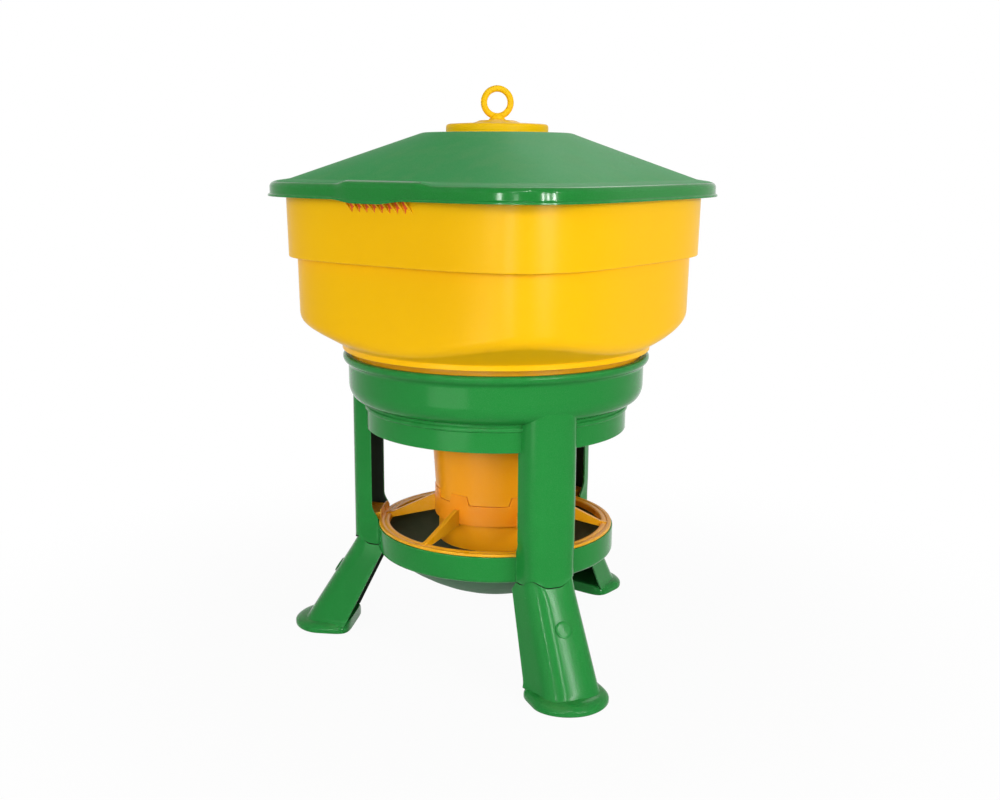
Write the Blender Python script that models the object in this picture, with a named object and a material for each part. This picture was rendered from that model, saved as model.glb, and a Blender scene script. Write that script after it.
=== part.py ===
"""Standing poultry feeder: a lidded hopper in a tripod stand, with a feed tube, a grille and a pan.

Metres, +Z up. The floor is z = 0 and the hopper's axis is x = y = 0. The hopper's corners lie on the
X and Y axes. The first leg points nearly toward -Y and the other two stand 120 degrees from it.
"""
import math

import bmesh
import bpy
from mathutils import Vector

# Fits and walls
SEAT_GAP = 0.0003          # between pieces that rest on each other
SLIDE_GAP = 0.0005         # between pieces that slide or turn in each other
WALL = 0.003               # moulded wall of the hopper, lid, funnel and tube
STAND_WALL = 0.0032        # moulded wall of the collar, uprights, pan and feet

# Stand: collar, uprights and pan
COLLAR_RADIUS = 0.2225     # outside of the collar's main band
COLLAR_STEP = 0.024        # the lower band is this much smaller in radius
COLLAR_LOWER_HEIGHT = 0.0415
COLLAR_UPPER_HEIGHT = 0.072
COLLAR_ROLL = 0.009        # how far the rolled rim stands out
COLLAR_BEAD = 0.0025       # how far the bead on the lower band stands out
LEG_NAMES = ("front", "left", "rear")
FIRST_LEG_TURN = math.radians(14.0)   # from -Y toward +X
UPRIGHT_INSET = 0.0015     # outer face inside the collar's main band
UPRIGHT_DEPTH = 0.0290     # depth of the flanges beside the open windows
WEB_HALF_WIDTH = 0.035
MOUTH_FLARE = 0.009        # the mouth is wider than the web by this much on each side
CHANNEL_FILLET = 0.013
WINDOW_HEIGHT = 0.1565     # from the pan's rim up to the collar
PAN_INSET = 0.0395         # pan radius inside the collar's main band
PAN_BASE = 0.1455          # foot of the pan's wall above the floor
PAN_WALL_HEIGHT = 0.0385
PAN_RIM_WIDTH = 0.004
PAN_FLOOR = 0.0035         # thickness of the pan's floor
DISH_DEPTH = 0.0698
BRACKET_HEIGHT = 0.0075
BRACKET_DROP = 0.0005      # top of the bracket below the pan's rim
BRACKET_HALF_ANGLE = math.radians(5.3)

# Feet
SEAM_DROP = 0.0015         # the seam's lowest line above the foot of the pan's wall
SEAM_WAVE = 0.011          # the seam rises this much at the channel's corners
LEG_SPLAY = math.radians(32.0)
FOOT_DEPTH_TOP = 0.0556
FOOT_DEPTH_BOTTOM = 0.0715
FOOT_FLARE = 0.006         # as the mouth's flare, for a foot
FOOT_SPREAD = 0.004        # the foot's web is wider at the sole by this much on each side
FOOT_FILLET = 0.020        # a foot is rounder than an upright
SOLE_LENGTH = 0.0915
SOLE_HALF_WIDTH = 0.0540
SOLE_HEIGHT = 0.016
SOLE_LIP = 0.0226          # the sole reaches this far beyond the leg's outer face
SOLE_OUTER_POWER = 1.9     # plan of the sole's outer end; 2 is an ellipse
SOLE_INNER_POWER = 6.0     # plan of its inner end, nearly square
TONGUE_HALF_WIDTH = 0.017
TONGUE_THICKNESS = 0.0045
TONGUE_LENGTH = 0.069      # height of the tongue below the seam
PIN_DROP = 0.050           # pin below the seam
PIN_HEAD_RADIUS = 0.012
PIN_HEAD_HEIGHT = 0.0035
PIN_RADIUS = 0.006
PIN_BARB = 0.0012

# Grille
RING_INSET = 0.002         # ring's edge inside the outside of the pan
RING_WIDTH = 0.016
RING_HEIGHT = 0.0042
RING_SKIRT = 0.0068
HUB_WALL = 0.0055
HUB_HEIGHT = 0.0445
HUB_RISE = 0.0166          # foot of the hub above the pan's rim
SPOKE_COUNT = 6
SPOKE_THICKNESS = 0.006
SPOKE_HUB_HEIGHT = 0.0245
LUG_REACH = 0.027          # how far a lug reaches beyond the ring
LUG_HEIGHT = 0.011
LUG_HALF_ANGLE = math.radians(8.4)
FIN_HEIGHT = 0.016

# Tube and funnel
TUBE_RADIUS = 0.0927       # outside of the tube where it rests on the hub
TUBE_SHOULDER = 0.005
SPIGOT_LENGTH = 0.0846     # part of the tube that goes down through the hub
TAB_HEIGHT = 0.013
TAB_SLANT = math.radians(2.5)
WIDE_TAB_TURN = math.radians(-28.4)    # tab centres, from each leg
WIDE_TAB_HALF = math.radians(21.0)
NARROW_TAB_TURN = math.radians(-78.0)
NARROW_TAB_HALF = math.radians(10.0)
THROAT_RADIUS = 0.0947     # outside of the funnel's spout
THROAT_LENGTH = 0.0205
THROAT_GAP = 0.0006        # clearance of the spout in the tube
TUBE_TOP_WALL = 0.0035
FUNNEL_SLOPE_HEIGHT = 0.1060
FUNNEL_BAND_GAP = 0.0007   # clearance of the funnel's band in the collar
FUNNEL_RIM = 0.0125        # band above the top of the funnel's slope
FUNNEL_PROUD = 0.0077      # band above the top of the collar

# Hopper
NECK_OVERHANG = 0.0095     # neck outside the collar's main band
NECK_HEIGHT = 0.008
HOPPER_SPIGOT = 0.010
BOTTOM_SLOPE = 0.57        # rise of the conical bottom for each metre outward
BOTTOM_WALL = 0.0045       # thickness of that bottom, measured upright
BELLY_FILLET = 0.018
LOWER_HEIGHT = 0.1282      # neck's top to step
UPPER_BAND_HEIGHT = 0.1060
HOPPER_STEP = 0.0105
HOPPER_HALF_WIDTH = 0.2605  # flat to axis at the foot of the upper band
HOPPER_DRAFT = 0.002
HOPPER_SQUARENESS = 3.8
RIB_COUNT = 9              # finger ribs beside each grip pad
RIB_PITCH = 0.0135
RIB_SHIFT = 0.022
RIB_THICKNESS = 0.003
RIB_DROP = 0.0345          # foot of a rib below the hopper's rim
RIB_LID_GAP = 0.001

# Lid, cap and ring
LID_OVERHANG = 0.0165      # lid's lip outside the hopper
LID_SQUARENESS = 4.4
LID_LIP = 0.005
RIM_HEIGHT = 0.022
LEDGE_WIDTH = 0.0175
LID_RISE = 0.0663
PLATEAU_RADIUS = 0.109
FILLER_RADIUS = 0.060
PAD_LENGTH = 0.165
PAD_SHIFT = 0.015          # pads off the middle of their sides
PAD_THICKNESS = 0.006
PAD_RISE = 0.0045
CAP_RADIUS = 0.0753
CAP_HEIGHT = 0.0139
CAP_ROUND = 0.0045
HUMP_RADIUS = 0.0325
HUMP_HEIGHT = 0.0038
PLUG_DEPTH = 0.017
BOSS_RADIUS = 0.012
BOSS_HEIGHT = 0.0097
EYE_RADIUS = 0.0197        # middle of the ring's bar
EYE_BAR = 0.0047
SHANK_RADIUS = 0.006
SHANK_FLANGE = 0.0124
CLIP_RADIUS = 0.013
CLIP_THICKNESS = 0.0024
CLIP_GROOVE = 0.0015

# Spreader cone
CONE_RADIUS = 0.070
CONE_HEIGHT = 0.059
CONE_TIP_RADIUS = 0.014

# Facets
LARGE_ROUND = 48
MIDDLE_ROUND = 36
SMALL_ROUND = 16
SOLE_ROUND = 20
LID_ROUND = 64

# Places worked out from the sizes above
PAN_RADIUS = COLLAR_RADIUS - PAN_INSET
PAN_RIM = PAN_BASE + PAN_WALL_HEIGHT
UPRIGHT_REACH = COLLAR_RADIUS - UPRIGHT_INSET
SEAM_HEIGHT = PAN_BASE + SEAM_DROP
COLLAR_BASE = PAN_RIM + WINDOW_HEIGHT
COLLAR_LOWER_RADIUS = COLLAR_RADIUS - COLLAR_STEP
COLLAR_SHOULDER = COLLAR_BASE + COLLAR_LOWER_HEIGHT
COLLAR_SEAT = COLLAR_SHOULDER + 2.0 * STAND_WALL
COLLAR_TOP = COLLAR_SHOULDER + COLLAR_UPPER_HEIGHT
COLLAR_BORE = COLLAR_RADIUS - STAND_WALL
SPIGOT_RADIUS = TUBE_RADIUS - TUBE_SHOULDER
HUB_BORE = SPIGOT_RADIUS + SLIDE_GAP
HUB_RADIUS = HUB_BORE + HUB_WALL
HUB_BASE = PAN_RIM + HUB_RISE
HUB_TOP = HUB_BASE + HUB_HEIGHT
TUBE_BASE = HUB_TOP + SEAT_GAP
FUNNEL_RADIUS = COLLAR_BORE - FUNNEL_BAND_GAP
FUNNEL_TOP = COLLAR_TOP + FUNNEL_PROUD
FUNNEL_SLOPE_TOP = FUNNEL_TOP - FUNNEL_RIM
FUNNEL_SLOPE_FOOT = FUNNEL_SLOPE_TOP - FUNNEL_SLOPE_HEIGHT
NECK_BASE = FUNNEL_TOP + SEAT_GAP
NECK_TOP = NECK_BASE + NECK_HEIGHT
NECK_RADIUS = COLLAR_RADIUS + NECK_OVERHANG
STEP_HEIGHT = NECK_TOP + LOWER_HEIGHT
HOPPER_TOP = STEP_HEIGHT + UPPER_BAND_HEIGHT
LID_SEAT = HOPPER_TOP + SEAT_GAP
LID_HALF_WIDTH = HOPPER_HALF_WIDTH + LID_OVERHANG
RIM_TOP = LID_SEAT + WALL
RIM_BASE = RIM_TOP - RIM_HEIGHT
PLATEAU_HEIGHT = RIM_TOP + LEDGE_WIDTH / 6.0 + LID_RISE
CAP_SEAT = PLATEAU_HEIGHT + SEAT_GAP
CAP_TOP = CAP_SEAT + CAP_HEIGHT
EYE_SEAT = CAP_TOP + HUMP_HEIGHT + SEAT_GAP


def clear_scene():
    """Remove what the scene already holds."""
    for item in list(bpy.data.objects):
        bpy.data.objects.remove(item, do_unlink=True)


def moulded(name, colour, roughness):
    """A plain moulded plastic."""
    material = bpy.data.materials.new(name)
    material.use_nodes = True
    shader = material.node_tree.nodes["Principled BSDF"]
    shader.inputs["Base Color"].default_value = (*colour, 1.0)
    shader.inputs["Roughness"].default_value = roughness
    shader.inputs["Metallic"].default_value = 0.0
    return material


def finish_mesh(name, points, faces):
    """Mesh with its faces turned outward and its round parts shaded smooth."""
    mesh = bpy.data.meshes.new(name)
    mesh.from_pydata([tuple(p) for p in points], [], faces)
    work = bmesh.new()
    work.from_mesh(mesh)
    bmesh.ops.recalc_face_normals(work, faces=work.faces)
    work.to_mesh(mesh)
    work.free()
    mesh.shade_smooth()
    mesh.set_sharp_from_angle(angle=math.radians(35.0))
    return mesh


def place(name, mesh, material, height=0.0, parent=None):
    """One named object for a sub-part."""
    item = bpy.data.objects.new(name, mesh)
    item.location.z = height
    item.parent = parent
    if material:
        mesh.materials.append(material)
    bpy.context.collection.objects.link(item)
    return item


def tool(name, mesh):
    """A guide that is only cut away from, or joined to, another piece."""
    item = place(name, mesh, None)
    item.hide_render = True
    item.display_type = "WIRE"
    return item


def shape_with(item, other, operation):
    """Cut a guide from a piece, or join it to the piece."""
    step = item.modifiers.new(other.name, "BOOLEAN")
    step.operation = operation
    step.object = other
    step.solver = "EXACT"


def skin(rings, wrap):
    """Points and faces through rings of equal count. wrap joins the last ring to the first."""
    count = len(rings[0])
    points = [p for ring in rings for p in ring]
    faces = []
    for i in range(len(rings) if wrap else len(rings) - 1):
        low = i * count
        high = (i + 1) % len(rings) * count
        for j in range(count):
            k = (j + 1) % count
            faces.append((low + j, low + k, high + k, high + j))
    if not wrap:
        faces.append(tuple(reversed(range(count))))
        faces.append(tuple(range(len(points) - count, len(points))))
    return points, faces


def joined(*shapes):
    """Several bodies as one list of points and faces."""
    points = []
    faces = []
    for more_points, more_faces in shapes:
        start = len(points)
        points.extend(more_points)
        faces.extend(tuple(start + i for i in face) for face in more_faces)
    return points, faces


def outline(half_width, squareness, height, count, swell=None):
    """Rounded square with its corners on the X and Y axes; squareness 2 is a circle.

    swell(share) gives an outward and an upward shift where share is 1 at the middle of a grip side.
    """
    ring = []
    for i in range(count):
        turn = 2.0 * math.pi * i / count
        side = turn - math.pi / 4.0
        base = abs(math.cos(side)) ** squareness + abs(math.sin(side)) ** squareness
        reach = half_width * base ** (-1.0 / squareness)
        lift = 0.0
        if swell:
            along = max(-1.0, min(math.tan(side), 1.0)) * half_width - PAD_SHIFT
            share = max(0.0, 1.0 - (2.0 * along / PAD_LENGTH) ** 2) ** 0.5
            if math.cos(side) ** 2 < 0.5:
                share = 0.0
            out, lift = swell(share)
            reach += out
        ring.append(Vector((reach * math.cos(turn), reach * math.sin(turn), height + lift)))
    return ring


def turned(profile, count, wrap=True):
    """Shape turned about Z from (radius, height) points."""
    return skin([outline(radius, 2.0, height, count) for radius, height in profile], wrap)


def arc_block(inner, outer, half_angle, low_half_angle, bottom, top, turn, steps=4):
    """Piece of a ring centred on a direction; its ends may slant between bottom and top."""
    rings = []
    for i in range(steps + 1):
        share = 2.0 * i / steps - 1.0
        low = turn + share * low_half_angle - math.pi / 2.0
        high = turn + share * half_angle - math.pi / 2.0
        rings.append([Vector((radius * math.cos(angle), radius * math.sin(angle), height))
                      for radius, angle, height in ((inner, low, bottom), (outer, low, bottom),
                                                    (outer, high, top), (inner, high, top))])
    return skin(rings, False)


def leg_turn(index):
    """Direction of a leg, counted from -Y."""
    return FIRST_LEG_TURN - 2.0 * math.pi * index / len(LEG_NAMES)


def dish(radius):
    """Height of the underside of the pan's dish."""
    return PAN_BASE + DISH_DEPTH * ((radius / (PAN_RADIUS - 0.0106)) ** 2 - 1.0)


def shoulder_underside(radius):
    """Underside of the collar's shoulder, which curves up to the main band."""
    share = (radius - COLLAR_LOWER_RADIUS) / COLLAR_STEP
    rounding = 1.0 - math.sqrt(max(0.0, 1.0 - min(max(share, 0.0), 1.0) ** 4))
    return COLLAR_SHOULDER + 2.5 * STAND_WALL * rounding


def build_collar(material):
    """Stepped top ring of the stand: the funnel's band stands on its inner shoulder."""
    low = COLLAR_LOWER_RADIUS
    bead = COLLAR_SHOULDER - 0.010
    profile = [(low, COLLAR_BASE), (low, bead - 0.0015), (low + COLLAR_BEAD, bead),
               (low + COLLAR_BEAD, bead + 0.004), (low, COLLAR_SHOULDER - 0.0045),
               (low, COLLAR_SHOULDER)]
    for share in (0.55, 0.8, 0.93, 1.0):
        radius = low + COLLAR_STEP * share
        profile.append((radius, shoulder_underside(radius)))
    roll = COLLAR_RADIUS + COLLAR_ROLL
    profile += [(COLLAR_RADIUS + 0.001, COLLAR_TOP - 0.015),
                (roll - 0.003, COLLAR_TOP - 0.010), (roll, COLLAR_TOP - 0.0055),
                (roll - 0.003, COLLAR_TOP - 0.001), (roll - 0.007, COLLAR_TOP),
                (COLLAR_BORE + 0.001, COLLAR_TOP - 0.004), (COLLAR_BORE, COLLAR_TOP - 0.012),
                (COLLAR_BORE, COLLAR_SEAT), (low - STAND_WALL, COLLAR_SEAT),
                (low - STAND_WALL, COLLAR_BASE)]
    profile = [(radius, height - COLLAR_BASE) for radius, height in profile]
    mesh = finish_mesh("stand_collar", *turned(profile, LARGE_ROUND))
    return place("stand_collar", mesh, material, COLLAR_BASE)


def build_pan(material):
    """Round pan with a dished floor and a bracket for each upright."""
    foot = PAN_RADIUS - 0.018
    inner_wall = PAN_RADIUS - PAN_RIM_WIDTH
    steps = [CONE_RADIUS * s for s in (0.17, 0.6, 1.0)]
    steps += [CONE_RADIUS + (foot - CONE_RADIUS) * s for s in (0.4, 0.75, 1.0)]
    profile = [(radius, dish(radius) + PAN_FLOOR) for radius in steps]
    profile += [(inner_wall - 0.0045, PAN_BASE + 0.0055), (inner_wall, PAN_BASE + 0.013),
                (inner_wall, PAN_RIM), (PAN_RADIUS - 0.0006, PAN_RIM), (PAN_RADIUS, PAN_RIM - 0.0006),
                (PAN_RADIUS, PAN_BASE + 0.008), (PAN_RADIUS - 0.0025, PAN_BASE + 0.002),
                (PAN_RADIUS - 0.008, PAN_BASE)]
    profile += [(radius, dish(radius)) for radius in reversed(steps)]
    mesh = finish_mesh("feed_pan", *turned(profile, LARGE_ROUND, wrap=False))
    pan = place("feed_pan", mesh, material)
    top = PAN_RIM - BRACKET_DROP
    outer = UPRIGHT_REACH - STAND_WALL - SEAT_GAP
    blocks = [arc_block(PAN_RADIUS - 0.002, outer, BRACKET_HALF_ANGLE, BRACKET_HALF_ANGLE,
                        top - BRACKET_HEIGHT, top, leg_turn(i)) for i in range(len(LEG_NAMES))]
    shape_with(pan, tool("pan_brackets", finish_mesh("pan_brackets", *joined(*blocks))), "UNION")
    return pan


def channel(reach, web_half, flare, round_size, tip, wall_in):
    """Half of a channel's outline as (across, outward) points, from the flange's edge to the middle.

    reach is the outer face, round_size the corner's fillet, tip the rule for the flange's edge and
    wall_in the depth under the skin.
    """
    bow = UPRIGHT_REACH - wall_in
    base = reach - UPRIGHT_REACH
    web = web_half - wall_in
    mouth = web_half + flare - wall_in
    mouth_out = base + PAN_RADIUS
    fillet = round_size - 0.7 * wall_in

    def face(across):
        return base + math.sqrt(bow ** 2 - across ** 2)

    corner = Vector((web, face(web)))
    inward = (Vector((mouth, mouth_out)) - corner).normalized()
    start = corner + inward * fillet
    end = Vector((web - fillet, face(web - fillet)))
    half = [tip(corner, inward)]
    for s in (0.0, 1.0 / 3.0, 2.0 / 3.0, 1.0):
        half.append(start * (1.0 - s) ** 2 + corner * (2.0 * s * (1.0 - s)) + end * s ** 2)
    half.append(Vector((end.x / 2.0, face(end.x / 2.0))))
    middle = Vector((0.0, face(0.0)))
    return half + [middle] + [Vector((-p.x, p.y)) for p in reversed(half)], corner


def seam_height(away):
    """Height of the wavy seam: it rises toward the channel's two outer corners."""
    return SEAM_HEIGHT + SEAM_WAVE * math.cos(min(away / 0.028, 1.0) * math.pi / 2.0) ** 2


def thick_sheet(outer, inner):
    """Closed shell between two grids of points with the same rows and columns."""
    rows = len(outer)
    columns = len(outer[0])
    points = [p for row in outer for p in row] + [p for row in inner for p in row]
    size = rows * columns
    faces = []
    for i in range(rows - 1):
        for j in range(columns - 1):
            a = i * columns + j
            quad = (a, a + 1, a + columns + 1, a + columns)
            faces.append(quad)
            faces.append(tuple(size + k for k in reversed(quad)))
    border = [j for j in range(columns)]
    border += [i * columns + columns - 1 for i in range(1, rows)]
    border += [(rows - 1) * columns + j for j in range(columns - 2, -1, -1)]
    border += [i * columns for i in range(rows - 2, 0, -1)]
    for a, b in zip(border, border[1:] + border[:1]):
        faces.append((b, a, size + a, size + b))
    return points, faces


def channel_sheet(rows):
    """Channel wall through rows of (height rule, reach, half width, flare, fillet, flange edge rule).

    A height rule gets the point and how far the wall is from the outer corner there.
    """
    outer = []
    inner = []
    for height, *section in rows:
        skin_points, corner = channel(*section, 0.0)
        lining_points = channel(*section, STAND_WALL)[0]
        away = [(Vector((abs(p.x), p.y)) - corner).length for p in skin_points]
        outer.append([Vector((p.x, -p.y, height(p, d))) for p, d in zip(skin_points, away)])
        inner.append([Vector((p.x, -p.y, height(p, d))) for p, d in zip(lining_points, away)])
    return thick_sheet(outer, inner)


def level(height):
    """Height rule of a level row."""
    return lambda point, away: height


def at_distance(distance):
    """Flange edge rule: the edge keeps this distance from the hopper's axis."""
    def edge(corner, inward):
        near = -corner.dot(inward)
        return corner + inward * (near - math.sqrt(near ** 2 - corner.length_squared + distance ** 2))
    return edge


def at_face(outward):
    """Flange edge rule: the edge lies this far out, measured along the leg's direction."""
    return lambda corner, inward: corner + inward * ((outward - corner.y) / inward.y)


def foot_reach(height):
    """Outer face of a foot at a height below the seam."""
    return UPRIGHT_REACH + (SEAM_HEIGHT - height) * math.tan(LEG_SPLAY)


def build_upright_mesh():
    """Channel between pan and collar, with the tongue that the foot is pushed over."""
    beside_pan = at_distance(PAN_RADIUS + SLIDE_GAP)
    beside_window = at_distance(UPRIGHT_REACH - UPRIGHT_DEPTH)
    beside_collar = at_distance(COLLAR_LOWER_RADIUS + COLLAR_BEAD + SEAT_GAP)
    window_foot = PAN_RIM + 0.006

    def under_collar(point, away):
        return shoulder_underside(point.length) - SEAT_GAP

    rows = [(lambda point, away: seam_height(away) + SEAT_GAP, beside_pan),
            (level(SEAM_HEIGHT + SEAM_WAVE + 0.004), beside_pan), (level(window_foot), beside_pan),
            (level(window_foot + 0.020), beside_window), (level(COLLAR_BASE - 0.001), beside_window),
            (level(COLLAR_BASE - 0.0005), beside_collar), (under_collar, beside_collar)]
    section = (UPRIGHT_REACH, WEB_HALF_WIDTH, MOUTH_FLARE, CHANNEL_FILLET)
    return finish_mesh("upright", *channel_sheet([(height, *section, tip) for height, tip in rows]))


def tongue_face():
    """How far the tongue's outer face lies inside the foot's outer face, along the leg's direction."""
    bow = UPRIGHT_REACH - math.sqrt(UPRIGHT_REACH ** 2 - TONGUE_HALF_WIDTH ** 2)
    return (STAND_WALL + SLIDE_GAP) / math.cos(LEG_SPLAY) + bow


def build_tongue_mesh():
    """Strip that starts behind the upright's web and runs down inside the foot."""
    top = PAN_RIM - BRACKET_DROP - BRACKET_HEIGHT - 0.004
    step = SEAM_HEIGHT + SEAM_WAVE + 0.002
    face = UPRIGHT_REACH - tongue_face()
    end = SEAM_HEIGHT - TONGUE_LENGTH
    end_face = foot_reach(end) - tongue_face()
    side = [(UPRIGHT_REACH - 0.8 * STAND_WALL, top), (UPRIGHT_REACH - 0.8 * STAND_WALL, step),
            (face, step), (face, SEAM_HEIGHT), (end_face, end),
            (end_face - TONGUE_THICKNESS, end), (face - TONGUE_THICKNESS, SEAM_HEIGHT),
            (face - TONGUE_THICKNESS, top)]
    rings = [[Vector((x, -outward, height)) for outward, height in side]
             for x in (-TONGUE_HALF_WIDTH, TONGUE_HALF_WIDTH)]
    return finish_mesh("tongue", *skin(rings, False))


def build_foot_mesh():
    """Splayed channel that meets the upright at the wavy seam."""
    top = SEAM_HEIGHT - 0.011
    low = SOLE_HEIGHT
    inside = 0.004

    def depth_tip(height):
        share = (top - height) / (top - low)
        depth = FOOT_DEPTH_TOP + (FOOT_DEPTH_BOTTOM - FOOT_DEPTH_TOP) * share
        return at_face(foot_reach(height) - depth)

    def half_width(height):
        return WEB_HALF_WIDTH + FOOT_SPREAD * (SEAM_HEIGHT - height) / (SEAM_HEIGHT - low)

    rows = [(lambda point, away: seam_height(away), UPRIGHT_REACH, WEB_HALF_WIDTH, MOUTH_FLARE,
             CHANNEL_FILLET, at_distance(PAN_RADIUS + SLIDE_GAP))]
    for height in (top, (top + low) / 2.0, low, inside):
        rows.append((level(height), foot_reach(height), half_width(height), FOOT_FLARE, FOOT_FILLET,
                     depth_tip(height)))
    return finish_mesh("foot", *channel_sheet(rows))


def build_sole_mesh():
    """Low domed sole, flat below: rounded at its outer end and square at its inner end."""
    start = foot_reach(SOLE_HEIGHT) + SOLE_LIP - SOLE_LENGTH
    rings = []
    for scale, height in ((0.97, 0.0), (1.0, 0.0015), (1.0, 0.006), (0.95, 0.011), (0.85, SOLE_HEIGHT)):
        ring = []
        for i in range(SOLE_ROUND):
            turn = 2.0 * math.pi * i / SOLE_ROUND
            power = SOLE_OUTER_POWER if math.sin(turn) < 0.0 else SOLE_INNER_POWER
            reach = (abs(math.cos(turn)) ** power + abs(math.sin(turn)) ** power) ** (-1.0 / power)
            length = scale * SOLE_LENGTH / 2.0
            ring.append(Vector((scale * SOLE_HALF_WIDTH * reach * math.cos(turn),
                                length * reach * math.sin(turn) - start - length, height)))
        rings.append(ring)
    return finish_mesh("sole", *skin(rings, False))


def pin_place(item):
    """Stand a turned shape on the foot's outer face, along its normal."""
    height = SEAM_HEIGHT - PIN_DROP
    item.location = (0.0, -foot_reach(height), height)
    item.rotation_euler = (math.pi / 2.0 - LEG_SPLAY, 0.0, 0.0)


def build_pin_mesh():
    """Round head, shank and a barb behind the tongue."""
    back = (tongue_face() + TONGUE_THICKNESS) * math.cos(LEG_SPLAY) + SEAT_GAP
    profile = [(0.5 * PIN_RADIUS, -back - 0.0025), (PIN_RADIUS, -back - 0.0015),
               (PIN_RADIUS + PIN_BARB, -back), (PIN_RADIUS, -back), (PIN_RADIUS, SEAT_GAP),
               (PIN_HEAD_RADIUS, SEAT_GAP), (PIN_HEAD_RADIUS, 0.4 * PIN_HEAD_HEIGHT),
               (0.85 * PIN_HEAD_RADIUS, 0.85 * PIN_HEAD_HEIGHT), (0.5 * PIN_HEAD_RADIUS, PIN_HEAD_HEIGHT)]
    return finish_mesh("foot_pin", *turned(profile, SMALL_ROUND, wrap=False))


def build_legs(material):
    """Three uprights, feet and pins, each set on an empty that turns with its leg."""
    upright_mesh = build_upright_mesh()
    foot_mesh = build_foot_mesh()
    pin_mesh = build_pin_mesh()
    for mesh in (upright_mesh, foot_mesh, pin_mesh):
        mesh.materials.append(material)
    tongue_mesh = build_tongue_mesh()
    sole_mesh = build_sole_mesh()
    bore = [(PIN_RADIUS + SLIDE_GAP, -5.0 * PIN_RADIUS), (PIN_RADIUS + SLIDE_GAP, 2.0 * PIN_RADIUS)]
    bore_mesh = finish_mesh("pin_bore", *turned(bore, SMALL_ROUND, wrap=False))
    for i, name in enumerate(LEG_NAMES):
        leg = bpy.data.objects.new("leg_" + name, None)
        bpy.context.collection.objects.link(leg)
        leg.rotation_euler.z = leg_turn(i)
        guides = []
        for role, mesh in (("tongue", tongue_mesh), ("sole", sole_mesh), ("bore", bore_mesh)):
            guide = tool(role + "_" + name, mesh)
            guide.parent = leg
            guides.append(guide)
        tongue, sole, hole = guides
        pin_place(hole)
        upright = place("upright_" + name, upright_mesh, None, parent=leg)
        shape_with(upright, tongue, "UNION")
        shape_with(upright, hole, "DIFFERENCE")
        foot = place("foot_" + name, foot_mesh, None, parent=leg)
        shape_with(foot, sole, "UNION")
        shape_with(foot, hole, "DIFFERENCE")
        pin_place(place("foot_pin_" + name, pin_mesh, None, parent=leg))


def build_cone(material):
    """Spreader cone on the pan's floor."""
    seat = dish(CONE_RADIUS) + PAN_FLOOR + SEAT_GAP
    wall = 0.8 * WALL
    profile = [(0.3 * CONE_TIP_RADIUS, CONE_HEIGHT - wall - 0.001),
               (CONE_TIP_RADIUS - 0.6 * wall, CONE_HEIGHT - 0.003 - wall), (CONE_RADIUS - wall, 0.0),
               (CONE_RADIUS, 0.0), (CONE_RADIUS, 0.0015), (CONE_TIP_RADIUS, CONE_HEIGHT - 0.003),
               (0.4 * CONE_TIP_RADIUS, CONE_HEIGHT)]
    mesh = finish_mesh("spreader_cone", *turned(profile, MIDDLE_ROUND, wrap=False))
    return place("spreader_cone", mesh, material, seat)


def tab_shapes(outer, inner, bottom, top, gap):
    """Wide and narrow tabs beside each leg, or their notches when gap is not zero."""
    shapes = []
    for i in range(len(LEG_NAMES)):
        for turn, half in ((WIDE_TAB_TURN, WIDE_TAB_HALF), (NARROW_TAB_TURN, NARROW_TAB_HALF)):
            grown = half + gap / TUBE_RADIUS
            shapes.append(arc_block(inner, outer, grown, grown - TAB_SLANT, bottom - gap, top,
                                    leg_turn(i) + turn))
    return joined(*shapes)


def build_tube(material):
    """Tapering tube on the grille's hub, with tabs in the hub's notches and a spigot through it."""
    bore = SPIGOT_RADIUS - WALL
    tube_bore = THROAT_RADIUS + THROAT_GAP
    top = FUNNEL_SLOPE_FOOT - WALL * 1.3
    throat = FUNNEL_SLOPE_FOOT - THROAT_LENGTH - 0.0035
    profile = [(tube_bore + TUBE_TOP_WALL, top), (TUBE_RADIUS, TUBE_BASE), (SPIGOT_RADIUS, TUBE_BASE),
               (SPIGOT_RADIUS, HUB_TOP - SPIGOT_LENGTH), (bore, HUB_TOP - SPIGOT_LENGTH),
               (bore, TUBE_BASE + 0.004), (TUBE_RADIUS - 0.9 * WALL, TUBE_BASE + 0.009),
               (tube_bore, throat), (tube_bore, top)]
    profile = [(radius, height - TUBE_BASE) for radius, height in profile]
    mesh = finish_mesh("feed_tube", *turned(profile, MIDDLE_ROUND))
    tube = place("feed_tube", mesh, material, TUBE_BASE)
    tabs = tab_shapes(TUBE_RADIUS - 0.0002, SPIGOT_RADIUS - 0.0007, TUBE_BASE - TAB_HEIGHT,
                      TUBE_BASE + 0.001, 0.0)
    shape_with(tube, tool("tube_tabs", finish_mesh("tube_tabs", *tabs)), "UNION")
    return tube


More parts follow.
